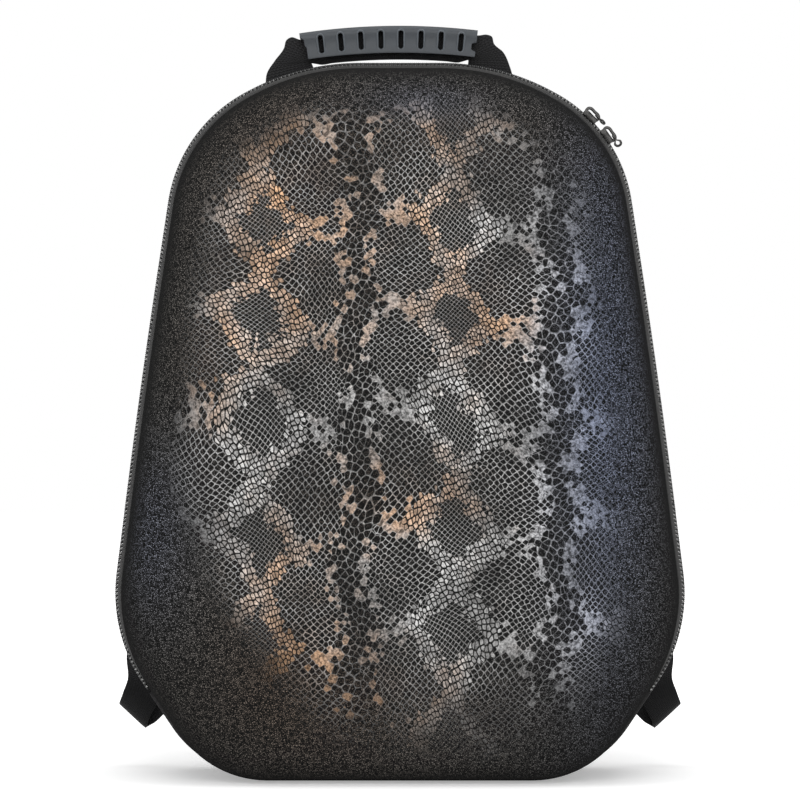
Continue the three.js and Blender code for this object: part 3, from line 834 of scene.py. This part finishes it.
# %% Coil teeth
TOOTH_STEP = 1.4 * MM
COIL_INSET = 5 * MM  # the coil is cut off this far from the ends of the tapes
TOOTH_SIDES = 6
TOOTH_SPREAD, TOOTH_RISE = 1.2, 0.9  # width of the bar along the zip and off it, for a thickness of 1
TOOTH_LINE = np.array((  # across the zip from a tooth's own tape, out from the outline, and thickness
    (-2.6, -2.7, 0.0), (-2.55, -2.0, 1.1), (-2.0, -0.95, 1.35), (-0.6, -0.55, 1.4), (0.75, -0.62, 1.5),
    (1.15, -1.0, 1.2), (1.2, -1.3, 0.0))) * MM
GLINT_BEND = 0.25  # where a tooth gets its painted highlight, as a share of its length
GLINT_SIDES = (50 * MM, 130 * MM)  # the painted highlight is strong at the sides of the bag, and faint on top


def nylon_coil():
    finish = Finish("nylon_coil", Specular_IOR_Level=0.5)
    place = finish.place()
    streaks = finish.noise(place, 1.6 * MM, 3.0)
    share, _, _ = finish.split(finish.weave_place())
    # painted highlight: a light spot at each tooth's bend next to its tape, broken up by the streaks, strong
    # at the sides of the bag and faint on top
    aside = finish.split(place)[0].size().rise(*GLINT_SIDES)
    painted_glint = (1 - (share - GLINT_BEND).size().rise(0.03, 0.1)) * streaks.rise(0.3, 0.6) * (0.1 + 0.9 * aside)
    colour = finish.mix(streaks, tone(4, 4, 5), tone(16, 16, 17))
    colour = finish.mix(painted_glint, colour, tone(150, 150, 148))
    return finish.feed(Base_Color=colour, Roughness=0.2 + 0.2 * streaks)


def coil_teeth():
    """A tooth is rings of a round bar along a bent line. Tooth i sits i steps on, and every other one
    faces the other tape."""
    ring = oval(1, 1, TOOTH_SIDES)
    rings = np.zeros((len(TOOTH_LINE), TOOTH_SIDES + 1, 3))
    rings[..., 0] = ring[:, 0] * TOOTH_LINE[:, 2:] * TOOTH_SPREAD
    rings[..., 1] = TOOTH_LINE[:, :1]
    rings[..., 2] = TOOTH_LINE[:, 1:2] + ring[:, 1] * TOOTH_LINE[:, 2:] * TOOTH_RISE
    count = int((zip_end - zip_start - 2 * COIL_INSET) / TOOTH_STEP)
    spots, along, out = outline_at(zip_start + COIL_INSET + TOOTH_STEP * np.arange(count))
    facing = np.where(np.arange(count) % 2, 1.0, -1.0)[:, None] * BACKWARDS
    ways = np.stack([along, facing, out], 1)
    return spots[:, None, None] + np.einsum("rck,tkj->trcj", rings, ways)


teeth = coil_teeth()
tooth_share = np.linspace(0, 1, len(TOOTH_LINE))[:, None]
tooth_uv = np.stack([np.broadcast_to(tooth_share, teeth.shape[:3]), np.zeros(teeth.shape[:3])], -1)
add_piece("zip_coil", teeth, nylon_coil(), ["zip_teeth"], uv=tooth_uv)

# %% Cloth hinge along the bottom
GUSSET_STEPS = 160
GUSSET_LAP = 4 * MM  # how far the cloth covers each end of the zip
HALF_GUSSET = np.array((  # backwards and out from the outline, and back: its edge tucks in behind the rim
    (0, -0.3), (9.2, -0.45), (10.6, -1.0), (12.2, -3.2), (14.0, -5.8),
    (13.3, -6.5), (11.4, -4.1), (9.9, -2.0), (9.2, -1.8), (0, -1.8))) * MM

gusset_profile = closed(np.vstack([HALF_GUSSET, HALF_GUSSET[-2:0:-1] * (-1, 1)]))
gusset_end = OUTLINE_LENGTH + zip_start + GUSSET_LAP
gusset = outline_strip(gusset_profile, zip_end - GUSSET_LAP, gusset_end, GUSSET_STEPS)
add_piece("bottom_hinge", gusset, plain_cloth, ["hinge_gusset"])

# %% [markdown]
# ## Sliders and pulls
# The two sliders are cast zinc with a dark plating: a wedge-shaped body, wide where the teeth part, with an
# arched bridge on top. A small ring of a pull hangs in the bridge and swings there, so each pull rides on
# its own body. The shapes are worked out in a slider's own axes, x down the zip, y across and z off it.


# %% Dark plated metal
def gunmetal():
    finish = Finish("gunmetal", Metallic=1.0)
    place = finish.place()
    scuffs = finish.noise(place, 1.4 * MM, 5.0)
    grain = finish.noise(place, 0.3 * MM, 2.0)
    colour = finish.mix(scuffs, tone(34, 34, 36), tone(96, 95, 93))
    return finish.feed(Base_Color=colour, Roughness=0.3 + 0.3 * scuffs,
                       Normal=finish.bump(grain, 0.00005, 0.4))


gunmetal_finish = gunmetal()
SLIDERS = {"upper": 443 * MM, "lower": 430 * MM}  # heights on the right side
SLIDER_PLAN = ((5.5, 3.5), (1.0, 3.6), (-2.75, 4.75), (-5.5, 3.2))  # half of the body's outline: x, y
SLIDER_CORNER = 0.9
SLIDER_SHARP = 0.9  # edges of the casting that bend by more than this, in radians, stay sharp
BRIDGE_STEPS, PULL_STEPS = 26, 80
SLIDER_LEVELS = (  # height, and share of the plan
    (-1.4, 0.93), (-1.1, 1.0), (1.9, 1.0), (2.5, 0.94), (2.9, 0.74), (3.0, 0.0))
BRIDGE_LINE = ((-4.4, 0, 1.4), (-4.9, 0, 2.8), (-4.7, 0, 4.4), (-3.5, 0, 5.25), (0, 0, 5.35),
               (3.5, 0, 5.25), (4.7, 0, 4.4), (4.9, 0, 2.8), (4.4, 0, 1.4))
BRIDGE_BAR = oval(3.0 * MM, 2.1 * MM, 12, 0.6)
PULL_PIVOT = np.array((2.4, 0, 4.3)) * MM
PULL_BAR = oval(1.7 * MM, 1.3 * MM, 10, 0.8)
PULL_LOOP = ((0, -2.75, 0.7), (7.6, -2.75, 2.2), (7.6, 2.75, 2.2), (0, 2.75, 0.7))  # x, y, corner radius
PULL_TWIST = {"upper": 0.35, "lower": 0.95}  # turn of the far end of a pull about its length
TWIST_RUN = (2.4 * MM, 5.6 * MM)


def slider_frame(height):
    """Spot on the zip and the three axes of a slider there, as rows: down the zip, across it, off it."""
    spot, along, out = (value[0] for value in outline_at(np.array([length_at_height(height)])))
    return spot, np.array([-along, np.cross(out, -along), out])


def slider_body():
    """Levels of the rounded plan, each shrunk by its share towards the middle."""
    half = np.array(SLIDER_PLAN)
    plan = np.vstack([half, half[::-1] * (1, -1)])
    loop = closed(rounded_loop(np.column_stack([plan, np.full(len(plan), SLIDER_CORNER)]), 5)) * MM
    levels = np.array(SLIDER_LEVELS)
    floor_level = levels[:1] * (1, 0)
    levels = np.vstack([floor_level, levels])
    flat = loop[None] * levels[:, 1:, None]
    heights = np.broadcast_to(levels[:, :1] * MM, flat.shape[:2])
    return np.concatenate([flat, heights[..., None]], -1)


def slider_bridge():
    """A flat-sided bar along the arch: across is Y, and through is square to the arch and to Y."""
    path = smooth_path(np.array(BRIDGE_LINE) * MM, BRIDGE_STEPS)
    across = np.broadcast_to(BACKWARDS, path.shape)
    through = unit(np.cross(np.gradient(path, axis=0), across))
    return capped(sweep(path, across, through, BRIDGE_BAR))


def pull_ring(twist):
    """A bar round a rounded loop in the plane of the pull. Past the bridge the loop is turned about its
    length, by an angle that rises smoothly from 0."""
    loop = closed(spaced(closed(rounded_loop(PULL_LOOP, 8)), PULL_STEPS + 1)[:-1]) * MM
    run = np.clip((loop[:, 0] - TWIST_RUN[0]) / (TWIST_RUN[1] - TWIST_RUN[0]), 0, 1)
    turn = twist * run**2 * (3 - 2 * run)
    path = np.column_stack([loop[:, 0], loop[:, 1] * np.cos(turn), loop[:, 1] * np.sin(turn)]) + PULL_PIVOT
    off = np.column_stack([np.zeros(len(turn)), -np.sin(turn), np.cos(turn)])
    return sweep(path, unit(np.cross(off, loop_ways(path))), off, PULL_BAR)


def set_on_zip(points, height):
    """Points from a slider's own axes to the bag's."""
    spot, axes = slider_frame(height)
    return spot + points @ axes


for place, height in SLIDERS.items():
    cast = set_on_zip(slider_body(), height)
    add_piece(f"zip_slider_{place}_cast", cast, gunmetal_finish, [f"zip_slider_{place}"],
              sharp=SLIDER_SHARP)
    bridge = set_on_zip(slider_bridge(), height)
    add_piece(f"zip_slider_{place}_bridge", bridge, gunmetal_finish)
    ring = set_on_zip(pull_ring(PULL_TWIST[place]), height)
    add_piece(f"zip_pull_{place}_ring", ring, gunmetal_finish, [f"zip_pull_{place}"],
              f"{place}_pull")

# %% [markdown]
# ## Webbing
# The handle and the straps are woven nylon webbing: close ribs run along it, and the weft shows as fine
# cross threads. The ribs follow the strap, so this finish reads lengths along and across from the piece.


# %% Ribbed black webbing
def ribbed_webbing():
    finish = Finish("ribbed_webbing", Specular_IOR_Level=0.25, Sheen_Weight=0.05, Sheen_Roughness=0.4)
    along, across, _ = finish.split(finish.weave_place())
    rib = (across / (0.8 * MM)).fold(1.0)
    weft = ((along + rib * 0.5 * MM) * (2 * np.pi / (1.3 * MM))).sine() * 0.5 + 0.5
    height = rib * 0.35 + weft * 0.65
    fuzz = finish.noise(finish.place(), 8 * MM, 4.0)
    colour = finish.mix(height * (0.35 + 0.65 * fuzz), tone(4, 4, 5), tone(42, 42, 43))
    return finish.feed(Base_Color=colour, Roughness=0.7 + 0.2 * fuzz,
                       Normal=finish.bump(height, 0.0004, 0.9))


webbing_finish = ribbed_webbing()

# %% Webbing of the carry handle
HANDLE_X, HANDLE_Y = -7.8 * MM, 14.7 * MM
GRIP_ARCH, GRIP_TOP = 450 * MM, 505.6 * MM
GRIP_LEAN = -0.0164  # the right end of the grip stands a little higher
ARCH_X = HANDLE_X - GRIP_LEAN * GRIP_ARCH
ARCH_Z = GRIP_TOP - GRIP_ARCH
WEB_THICK = 2.4 * MM
WEB_STEPS, WEB_SIDES, RUN_STEPS = 220, 40, 12
OUTER_EDGE = {  # edges of each leg, from left to right: place across and level, in mm
    "left": ((-91, 462.5), (-90, 474), (-85, 482), (-78.5, 491), (-76.8, 496.4), (-74, 498.2), (-67, 496.6)),
    "right": ((53, 499.5), (59, 500), (62, 498.9), (63.6, 494), (70, 488), (74.5, 478), (77.4, 467.5))}
INNER_EDGE = {
    "left": ((-59, 474), (-58.5, 477), (-60, 482)),
    "right": ((46, 483), (46, 478), (49, 475))}
RUN_TOP, RUN_FOOT = GRIP_ARCH - 3 * MM, GRIP_ARCH - 22.5 * MM  # radii of the edges under the grip
RUN_GAP = 6 * MM  # from the end of a leg to the arch


def arch_line(radius, x_from, x_to, count):
    """Points of an arc of the handle's arch between two places across the bag."""
    x = np.linspace(x_from, x_to, count)
    return np.stack([x, ARCH_Z + np.sqrt(radius**2 - (x - ARCH_X) ** 2)], -1)


def handle_edge(edge, radius):
    """One long edge of the webbing: up the left leg, along the grip's arch, and down the right leg."""
    left, right = (np.array(edge[side]) * MM for side in ("left", "right"))
    run = arch_line(radius, left[-1, 0] + RUN_GAP, right[0, 0] - RUN_GAP, RUN_STEPS)
    return smooth_path(np.vstack([left, run, right]), WEB_STEPS)


inner_edge, outer_edge = handle_edge(INNER_EDGE, RUN_FOOT), handle_edge(OUTER_EDGE, RUN_TOP)
web_profile = oval(1.0, WEB_THICK, WEB_SIDES, 0.35) + (0.5, 0)
spots = np.insert(inner_edge, 1, HANDLE_Y, axis=1)
rise = np.insert(outer_edge - inner_edge, 1, 0, axis=1)
handle_web = capped(sweep(spots, rise, np.broadcast_to(BACKWARDS, rise.shape), web_profile))
add_piece("handle_web", handle_web, webbing_finish, ["handle_webbing"],
          uv=strip_uv(handle_web))

# %% [markdown]
# ## The grip
# The grip is moulded plastic in the shape of a long inverted trough that snaps over the webbing. Its middle
# surface is a U-shaped line carried along the arch, which Solidify turns into a wall. The eight slots are
# cut through with a Boolean, and every slot has a raised lip, which is a small bead carried round it.


# %% Blue-grey moulded plastic
def moulded_plastic(name, dark, light, grain_size):
    finish = Finish(name, Specular_IOR_Level=0.4)
    place = finish.place()
    grain = finish.noise(place, grain_size, 3.0)
    rubbed = finish.noise(place, 9 * MM, 3.0)
    colour = finish.mix(grain * 0.4 + rubbed * 0.6, dark, light)
    return finish.feed(Base_Color=colour, Roughness=0.42 + 0.2 * rubbed,
                       Normal=finish.bump(grain, 0.00012, 0.5))


GRIP_WALL = 2.5 * MM
GRIP_DEEP, GRIP_TALL = 20 * MM, 18.5 * MM
GRIP_TURN = 0.1345  # half of the grip's length, as an angle of the arch
GRIP_HOLLOW = 0.9 * MM
GRIP_ROUND, SHARP_CORNER = 3.2 * MM, 1e-5
GRIP_ARC, GRIP_STEPS = 8, 60  # points of each rounded corner, and of the line and the arch
GRIP_NOTCH = {  # how far each end is cut back for the webbing, by the drop from the top, in mm
    "left": ((3.5, 5.0, 9.0, 10.5), (0, 2.4, 2.4, 3.6)), "right": ((8.5, 9.5, 14, 15), (0, 3.2, 3.2, 0))}
SLOT_COUNT, SLOT_PITCH, SLOT_WIDE, SLOT_TALL, SLOT_DROP = 8, 13.5 * MM, 3.5 * MM, 12.5 * MM, 9.6 * MM
SLOT_SHIFT = 1.5 * MM  # the row of slots is this far right of the middle of the grip
SLOT_ROUND = 0.999  # just under 1, so that two corners never share a point


def finished(piece, *modifiers):
    """Adds modifiers (type, settings) to a piece and keeps their result as its mesh."""
    for kind, settings in modifiers:
        modifier = piece.modifiers.new(kind.lower(), kind)
        for name, value in settings.items():
            setattr(modifier, name, value)
    result = piece.evaluated_get(bpy.context.evaluated_depsgraph_get())
    piece.data = bpy.data.meshes.new_from_object(result)
    piece.modifiers.clear()


def arch_spots(turns):
    """Middle of the arch, and the way outwards from it, at angles from its top."""
    angles = turns + GRIP_LEAN
    out = np.stack([np.sin(angles), np.zeros_like(angles), np.cos(angles)], -1)
    return np.broadcast_to((ARCH_X, HANDLE_Y, ARCH_Z), out.shape), out


def grip_trough():
    """Middle surface: up one hollowed face, over a rounded top and down the other, at angles of the arch
    that run between the two ends of the grip at that drop from the top."""
    side, top = (GRIP_DEEP - GRIP_WALL) / 2, GRIP_ARCH - GRIP_WALL / 2
    foot = GRIP_ARCH - GRIP_TALL
    corners = ((-side, foot, SHARP_CORNER), (-side, top, GRIP_ROUND),
               (side, top, GRIP_ROUND), (side, foot, SHARP_CORNER))
    rounded_top = rounded_loop(corners, GRIP_ARC)[GRIP_ARC:3 * GRIP_ARC]
    line = spaced(np.vstack([[(-side, foot)], rounded_top, [(side, foot)]]), GRIP_STEPS)
    up = np.clip((line[:, 1] - foot) / (top - foot), 0, 1)
    line[:, 0] -= np.sign(line[:, 0]) * GRIP_HOLLOW * np.sin(np.pi * up) ** 2
    drop = (GRIP_ARCH - line[:, 1]) / MM
    cuts = (np.interp(drop, *GRIP_NOTCH[end]) * MM for end in ("left", "right"))
    left, right = (GRIP_TURN - cut / GRIP_ARCH for cut in cuts)
    share = np.linspace(0, 1, GRIP_STEPS)[:, None]
    spots, out = arch_spots(share * right - (1 - share) * left)
    return spots + line[:, :1] * BACKWARDS + line[:, 1:] * out


def slot_turns():
    """Angles of the slots on the arch."""
    across = SLOT_SHIFT + (np.arange(SLOT_COUNT) - (SLOT_COUNT - 1) / 2) * SLOT_PITCH
    return across / (GRIP_ARCH - SLOT_DROP)


def slot_ring(grow):
    """A closed upright loop with round ends: nearly half the slot's width is the radius of each corner."""
    wide, tall = SLOT_WIDE / 2 + grow, SLOT_TALL / 2 + grow
    corners = ((wide, -tall), (wide, tall), (-wide, tall), (-wide, -tall))
    return closed(rounded_loop([(x, z, wide * SLOT_ROUND) for x, z in corners], 7))


def slot_loops(loop, y):
    """The loop set upright at every slot, at a distance in front of or behind the middle of the grip."""
    spots, out = arch_spots(slot_turns())
    along = np.stack([out[:, 2], out[:, 1], -out[:, 0]], -1)
    middle = spots + out * (GRIP_ARCH - SLOT_DROP) + BACKWARDS * y
    return middle[:, None] + loop[None, :, :1] * along[:, None] + loop[None, :, 1:] * out[:, None]


grip_plastic = moulded_plastic("grip_plastic", tone(33, 37, 40), tone(62, 67, 73), 0.5 * MM)
trough = add_piece("grip_trough", grip_trough(), grip_plastic, ["handle_grip"])
slot_walls = np.stack([slot_loops(slot_ring(0) * share, y) for share, y in
                       ((0, -GRIP_DEEP), (1, -GRIP_DEEP), (1, GRIP_DEEP), (0, GRIP_DEEP))], 1)
cutter = bpy.data.objects.new("slot_cutter", grid_mesh("slot_cutter", slot_walls))
bpy.context.scene.collection.objects.link(cutter)
finished(trough, ("SOLIDIFY", {"thickness": GRIP_WALL, "offset": 0.0, "use_even_offset": True}),
         ("BOOLEAN", {"object": cutter, "operation": "DIFFERENCE", "solver": "EXACT"}),
         ("BEVEL", {"width": 0.5 * MM, "segments": 3, "limit_method": "ANGLE", "angle_limit": 0.7}))
bpy.data.objects.remove(cutter)
trough.data.shade_smooth()
trough.data.set_sharp_from_angle(angle=0.8)
print("grip cut:", len(trough.data.polygons), "faces")

# %% Raised lips round the slots
LIP_BEAD = oval(1.5 * MM, 1.6 * MM, 8)
LIP_GAP = 0.55 * MM  # from the edge of a slot to the middle of its bead
LIP_FACE = GRIP_DEEP / 2 - GRIP_HOLLOW
lips = []
for facing in (-1, 1):
    rings = [slot_loops(slot_ring(LIP_GAP + across), facing * (LIP_FACE + off)) for across, off in LIP_BEAD]
    lips.append(np.stack(rings, 1))
# painted highlight: the lips are the grip's own plastic in a lighter copy, as the raised beads catch the
# light
lit_lip_plastic = moulded_plastic("lit_lip_plastic", tone(50, 54, 58), tone(88, 94, 100), 0.5 * MM)
add_piece("grip_lips", np.concatenate(lips), lit_lip_plastic)

# %% [markdown]
# ## Shoulder pads
# The pads are foam in a sewn cloth cover. A loft through a table of sections gives the cut of the cover, a
# little thin, and a cloth simulation with air pressure then fills it as foam would, so that it crowns
# between its edges. The seam that runs inside the edge comes afterwards, because the remesh before the
# simulation would lose it: every point keeps how far it lies from the pad's edge, and the finish draws the
# stitches from that.


# %% Cloth of the pads
SEAM_INSET = 6 * MM
STITCH = 1.8 * MM  # half of the way from one stitch to the next


def pad_weave():
    finish = Finish("pad_weave", Specular_IOR_Level=0.25, Sheen_Weight=0.15, Sheen_Roughness=0.5)
    place = finish.place()
    x, _, z = finish.split(place)
    warp = (x * (2 * np.pi / (1.1 * MM))).sine()
    weft = (z * (2 * np.pi / (1.1 * MM))).sine()
    height = warp * weft * 0.5 + 0.5
    fuzz = finish.noise(place, 12 * MM, 4.0)
    off_seam = (finish.reading("inset") - SEAM_INSET).size()
    groove = 1 - off_seam.rise(0.2 * MM, 2.0 * MM)
    on_seam = 1 - off_seam.rise(0.4 * MM, 0.7 * MM)
    stitch = on_seam * (finish.reading("run") / STITCH).fold(1.0).rise(0.25, 0.35)
    colour = finish.mix(height * 0.5 + fuzz * 0.5, tone(16, 16, 17), tone(48, 48, 49))
    # painted shade: the cloth is darker in the groove of the seam, where shade falls
    colour = finish.mix(groove * 0.6, colour, tone(8, 8, 8))
    colour = finish.mix(stitch, colour, tone(58, 58, 59))
    relief = finish.bump(height, 0.0003, 0.6)
    values = {"Height": stitch * 0.4 - groove, "Distance": 0.0012, "Normal": relief}
    sewn = finish.add("ShaderNodeBump", None, values)
    return finish.feed(Base_Color=colour, Roughness=0.78 + 0.15 * fuzz, Normal=sewn)


SIDES = (("left", -1), ("right", 1))
PAD_ROWS = np.array((  # level, place across, gap to the back panel, width, thickness, from the top down
    (431, 52, 0.5, 60, 5), (418, 52.5, 2.5, 64, 10), (390, 53, 11, 66, 12.5), (350, 55, 20, 66, 13),
    (300, 58, 25.5, 66, 13), (250, 64, 26, 64, 13), (205, 73, 22.5, 60, 12.5), (165, 85, 17, 54, 12),
    (140, 93.5, 13.5, 42, 10), (121.6, 105, 13.2, 30, 6.5))) * MM
BACK_FACE_Y = 70.5 * MM
PAD_SLACK = 3 * MM  # how much thinner and narrower the cover is cut than the filled pad
PAD_STEPS, PAD_SIDES, SPINE_STEPS = 60, 40, 120  # of the cover, along and round, and of the seam's line
PAD_VOXEL = 4 * MM
PAD_PRESSURE, PAD_FRAMES = 4.0, 20
PAD_CAP = 5 * MM  # the furthest that the filling may move a point


def pad_spine(side, count):
    """Middle line of a pad with its ways across and through, its width and its thickness."""
    level, place, gap, width, thickness = PAD_ROWS.T
    line = np.column_stack([side * place, BACK_FACE_Y + gap + thickness / 2, level])
    knots = chord_knots(line)
    table = np.column_stack([line, width, thickness])
    rows = hermite(knots, table, np.linspace(0, knots[-1], count), steady=False)
    spots, wide, thick = rows[:, :3], rows[:, 3:4], rows[:, 4:]
    across = unit(np.cross(np.gradient(spots, axis=0), BACKWARDS))
    through = unit(np.cross(across, np.gradient(spots, axis=0)))
    return spots, across, through, wide, thick


def pad_points(side):
    spots, across, through, wide, thick = pad_spine(side, PAD_STEPS)
    ring = oval(1, 1, PAD_SIDES, 0.5)
    grid = sweep(spots, across * (wide - PAD_SLACK), through * (thick - PAD_SLACK), ring)
    return capped(grid)


def seam_readings(points, side):
    """How far each point lies from the pad's edge and how far along it, by the nearest row of its spine."""
    spots, across, _, wide, _ = pad_spine(side, SPINE_STEPS)
    nearest = np.linalg.norm(points[:, None] - spots[None], axis=-1).argmin(1)
    aside = ((points - spots[nearest]) * across[nearest]).sum(1)
    ways = unit(np.gradient(spots, axis=0))
    past = ((points - spots[nearest]) * ways[nearest]).sum(1)
    run = chord_knots(spots)[nearest] + past
    to_ends = np.minimum(run, chord_knots(spots)[-1] - run)
    return {"inset": np.minimum(wide[nearest, 0] / 2 - np.abs(aside), to_ends), "run": run}


def filled(piece):
    """Remeshes the cover, blows it up with Cloth for a few frames, and caps how far each point moved."""
    finished(piece, ("REMESH", {"mode": "VOXEL", "voxel_size": PAD_VOXEL}))
    start = mesh_points(piece.data)
    cloth = piece.modifiers.new("cloth", "CLOTH")
    cloth.settings.use_pressure = True
    cloth.settings.uniform_pressure_force = PAD_PRESSURE
    cloth.settings.effector_weights.gravity = 0.0
    for step in range(1, PAD_FRAMES + 1):
        bpy.context.scene.frame_set(step)
    end = mesh_points(piece.evaluated_get(bpy.context.evaluated_depsgraph_get()).to_mesh())
    piece.modifiers.clear()
    bpy.context.scene.frame_set(1)
    move = end - start
    reach = np.linalg.norm(move, axis=1, keepdims=True)
    move *= np.minimum(1, PAD_CAP / np.maximum(reach, 1e-9))
    piece.data.vertices.foreach_set("co", (start + move).ravel())
    print(piece.name, "filled: moved", round(float(reach.mean()) / MM, 2), "mm on average")


pad_cloth = pad_weave()
for name, side in SIDES:
    pad = add_piece(f"shoulder_pad_{name}_cover", pad_points(side), pad_cloth,
                    [f"shoulder_pad_{name}"])
    filled(pad)
    pad.data.shade_smooth()
    store_readings(pad.data, seam_readings(mesh_points(pad.data), side))
    smoother = pad.modifiers.new("smoother", "SUBSURF")
    smoother.levels = smoother.render_levels = 1

# %% [markdown]
# ## Buckles and lower straps
# A ladder lock is a small moulded frame with two slots. The strap webbing comes up through one, goes over
# the middle bar and down the other, hangs in a loop past the bag's lower corner, and is sewn to the back.

# %% Ladder locks
LOCK_Y = BACK_FACE_Y + 17 * MM
LOCK_X, LOCK_Z, LOCK_LEAN = 112 * MM, 112 * MM, 0.6435
LOCK_FRAME = ((15, -8.75, 3), (15, 9, 3), (-15, 9, 3), (-15, -8.75, 3))  # x, up, corner radius
LOCK_BAR_LEVEL, LOCK_BAR_HALF = 0.25 * MM, 15 * MM
LOCK_RIM, LOCK_BAR = oval(3.6 * MM, 4.5 * MM, 14, 0.7), oval(3.3 * MM, 4.2 * MM, 14, 0.7)
buckle_plastic = moulded_plastic("buckle_plastic", tone(12, 12, 13), tone(34, 34, 35), 0.4 * MM)


def leaning(side, angle):
    """Ways across and up for something turned by an angle in the plane of the back panel."""
    across = np.array((side * np.cos(angle), 0, np.sin(angle)))
    up = np.array((-side * np.sin(angle), 0, np.cos(angle)))
    return across, up


def lock_frame(side):
    """A flattened bar round a rounded rectangle."""
    across, up = leaning(side, LOCK_LEAN)
    loop = closed(rounded_loop(LOCK_FRAME, 8)) * MM
    path = np.array((side * LOCK_X, LOCK_Y, LOCK_Z)) + loop[:, :1] * across + loop[:, 1:] * up
    through = np.broadcast_to(BACKWARDS, path.shape)
    return sweep(path, unit(np.cross(through, loop_ways(path))), through, LOCK_RIM)


def lock_bar(side):
    """The bar between the two slots."""
    across, up = leaning(side, LOCK_LEAN)
    middle = np.array((side * LOCK_X, LOCK_Y, LOCK_Z)) + up * LOCK_BAR_LEVEL
    path = middle + np.linspace(-LOCK_BAR_HALF, LOCK_BAR_HALF, 12)[:, None] * across
    side_way, through = (np.broadcast_to(way, path.shape) for way in (up, BACKWARDS))
    return capped(sweep(path, side_way, through, LOCK_BAR))


for name, side in SIDES:
    add_piece(f"ladder_lock_{name}_frame", lock_frame(side), buckle_plastic,
              [f"ladder_lock_{name}"])
    add_piece(f"ladder_lock_{name}_bar", lock_bar(side), buckle_plastic)

# %% Strap webbing
STRAP_WIDE, STRAP_THICK, STRAP_TURN = 25 * MM, 1.6 * MM, 5 * MM
STRAP_STEPS, STRAP_SIDES, FOLD_STEPS = 200, 28, 9
STRAP_FOLD = np.array((184.8, 82.5, 34.8)) * MM
STRAP_SAG = np.array((172, 86.5, 44.5)) * MM  # the half that comes from the lock hangs low before the fold
STRAP_PINCH = np.array((176.1, 79.8, 58.5)) * MM  # the other half draws in before it bows out
STRAP_BOW = np.array((178, 76.5, 71)) * MM
STRAP_ANCHOR = np.array((145, 71.6, 112)) * MM
FOLD_TILT, FOLD_LEANS = 0.745, (1.1, 0.34)  # of the fold, and of the halves towards the lock and beyond
SAG_LEAN, PINCH_LEAN, BOW_LEAN, ANCHOR_LEAN = 0.8, 0.3, 0.55, 0.42
LOCK_THREAD = np.array((  # along the lock, out from it
    (5.2, -4), (4.6, 0), (2.7, 3.9), (-2.2, 3.9), (-4.1, 0), (-6.2, -4.2), (-15, -4))) * MM


def strap_rows(side):
    """Spots along the webbing and its way across at each: in the lock, round the loop, up to the anchor."""
    mirror = np.array((side, 1, 1))
    across, up = leaning(side, LOCK_LEAN)
    lock = np.array((side * LOCK_X, LOCK_Y, LOCK_Z))
    spots = [lock + LOCK_THREAD[:, :1] * up + LOCK_THREAD[:, 1:] * BACKWARDS]
    ways = [np.broadcast_to(across, spots[0].shape)]

    def pass_through(spot, lean):
        spots.append(spot[None] * mirror)
        ways.append(leaning(side, lean)[0][None])

    pass_through(STRAP_SAG, SAG_LEAN)
    turn = np.linspace(np.pi / 2, -np.pi / 2, FOLD_STEPS)[:, None]
    across = leaning(side, FOLD_TILT)[0]
    up = np.where(turn > 0, *(leaning(side, lean)[1] for lean in FOLD_LEANS))
    spots.append(STRAP_FOLD * mirror + STRAP_TURN * ((1 - np.cos(turn)) * up + np.sin(turn) * BACKWARDS))
    ways.append(np.broadcast_to(across, spots[-1].shape))
    pass_through(STRAP_PINCH, PINCH_LEAN)
    pass_through(STRAP_BOW, BOW_LEAN)
    across, up = leaning(side, ANCHOR_LEAN)
    spots.append(STRAP_ANCHOR * mirror + np.array((-STRAP_WIDE / 2, 0))[:, None] * up)
    ways.append(np.broadcast_to(across, spots[-1].shape))
    return np.vstack(spots), np.vstack(ways)


def strap_points(side):
    spots, ways = strap_rows(side)
    knots = chord_knots(spots)
    at = np.linspace(0, knots[-1], STRAP_STEPS)
    rows = hermite(knots, np.hstack([spots, ways]), at, steady=False)
    path, across = rows[:, :3], unit(rows[:, 3:])
    through = unit(np.cross(np.gradient(path, axis=0), across))
    return capped(sweep(path, across, through, oval(STRAP_WIDE, STRAP_THICK, STRAP_SIDES, 0.3)))


for name, side in SIDES:
    strap = strap_points(side)
    add_piece(f"strap_{name}_web", strap, webbing_finish, [f"strap_webbing_{name}"],
              uv=strip_uv(strap))
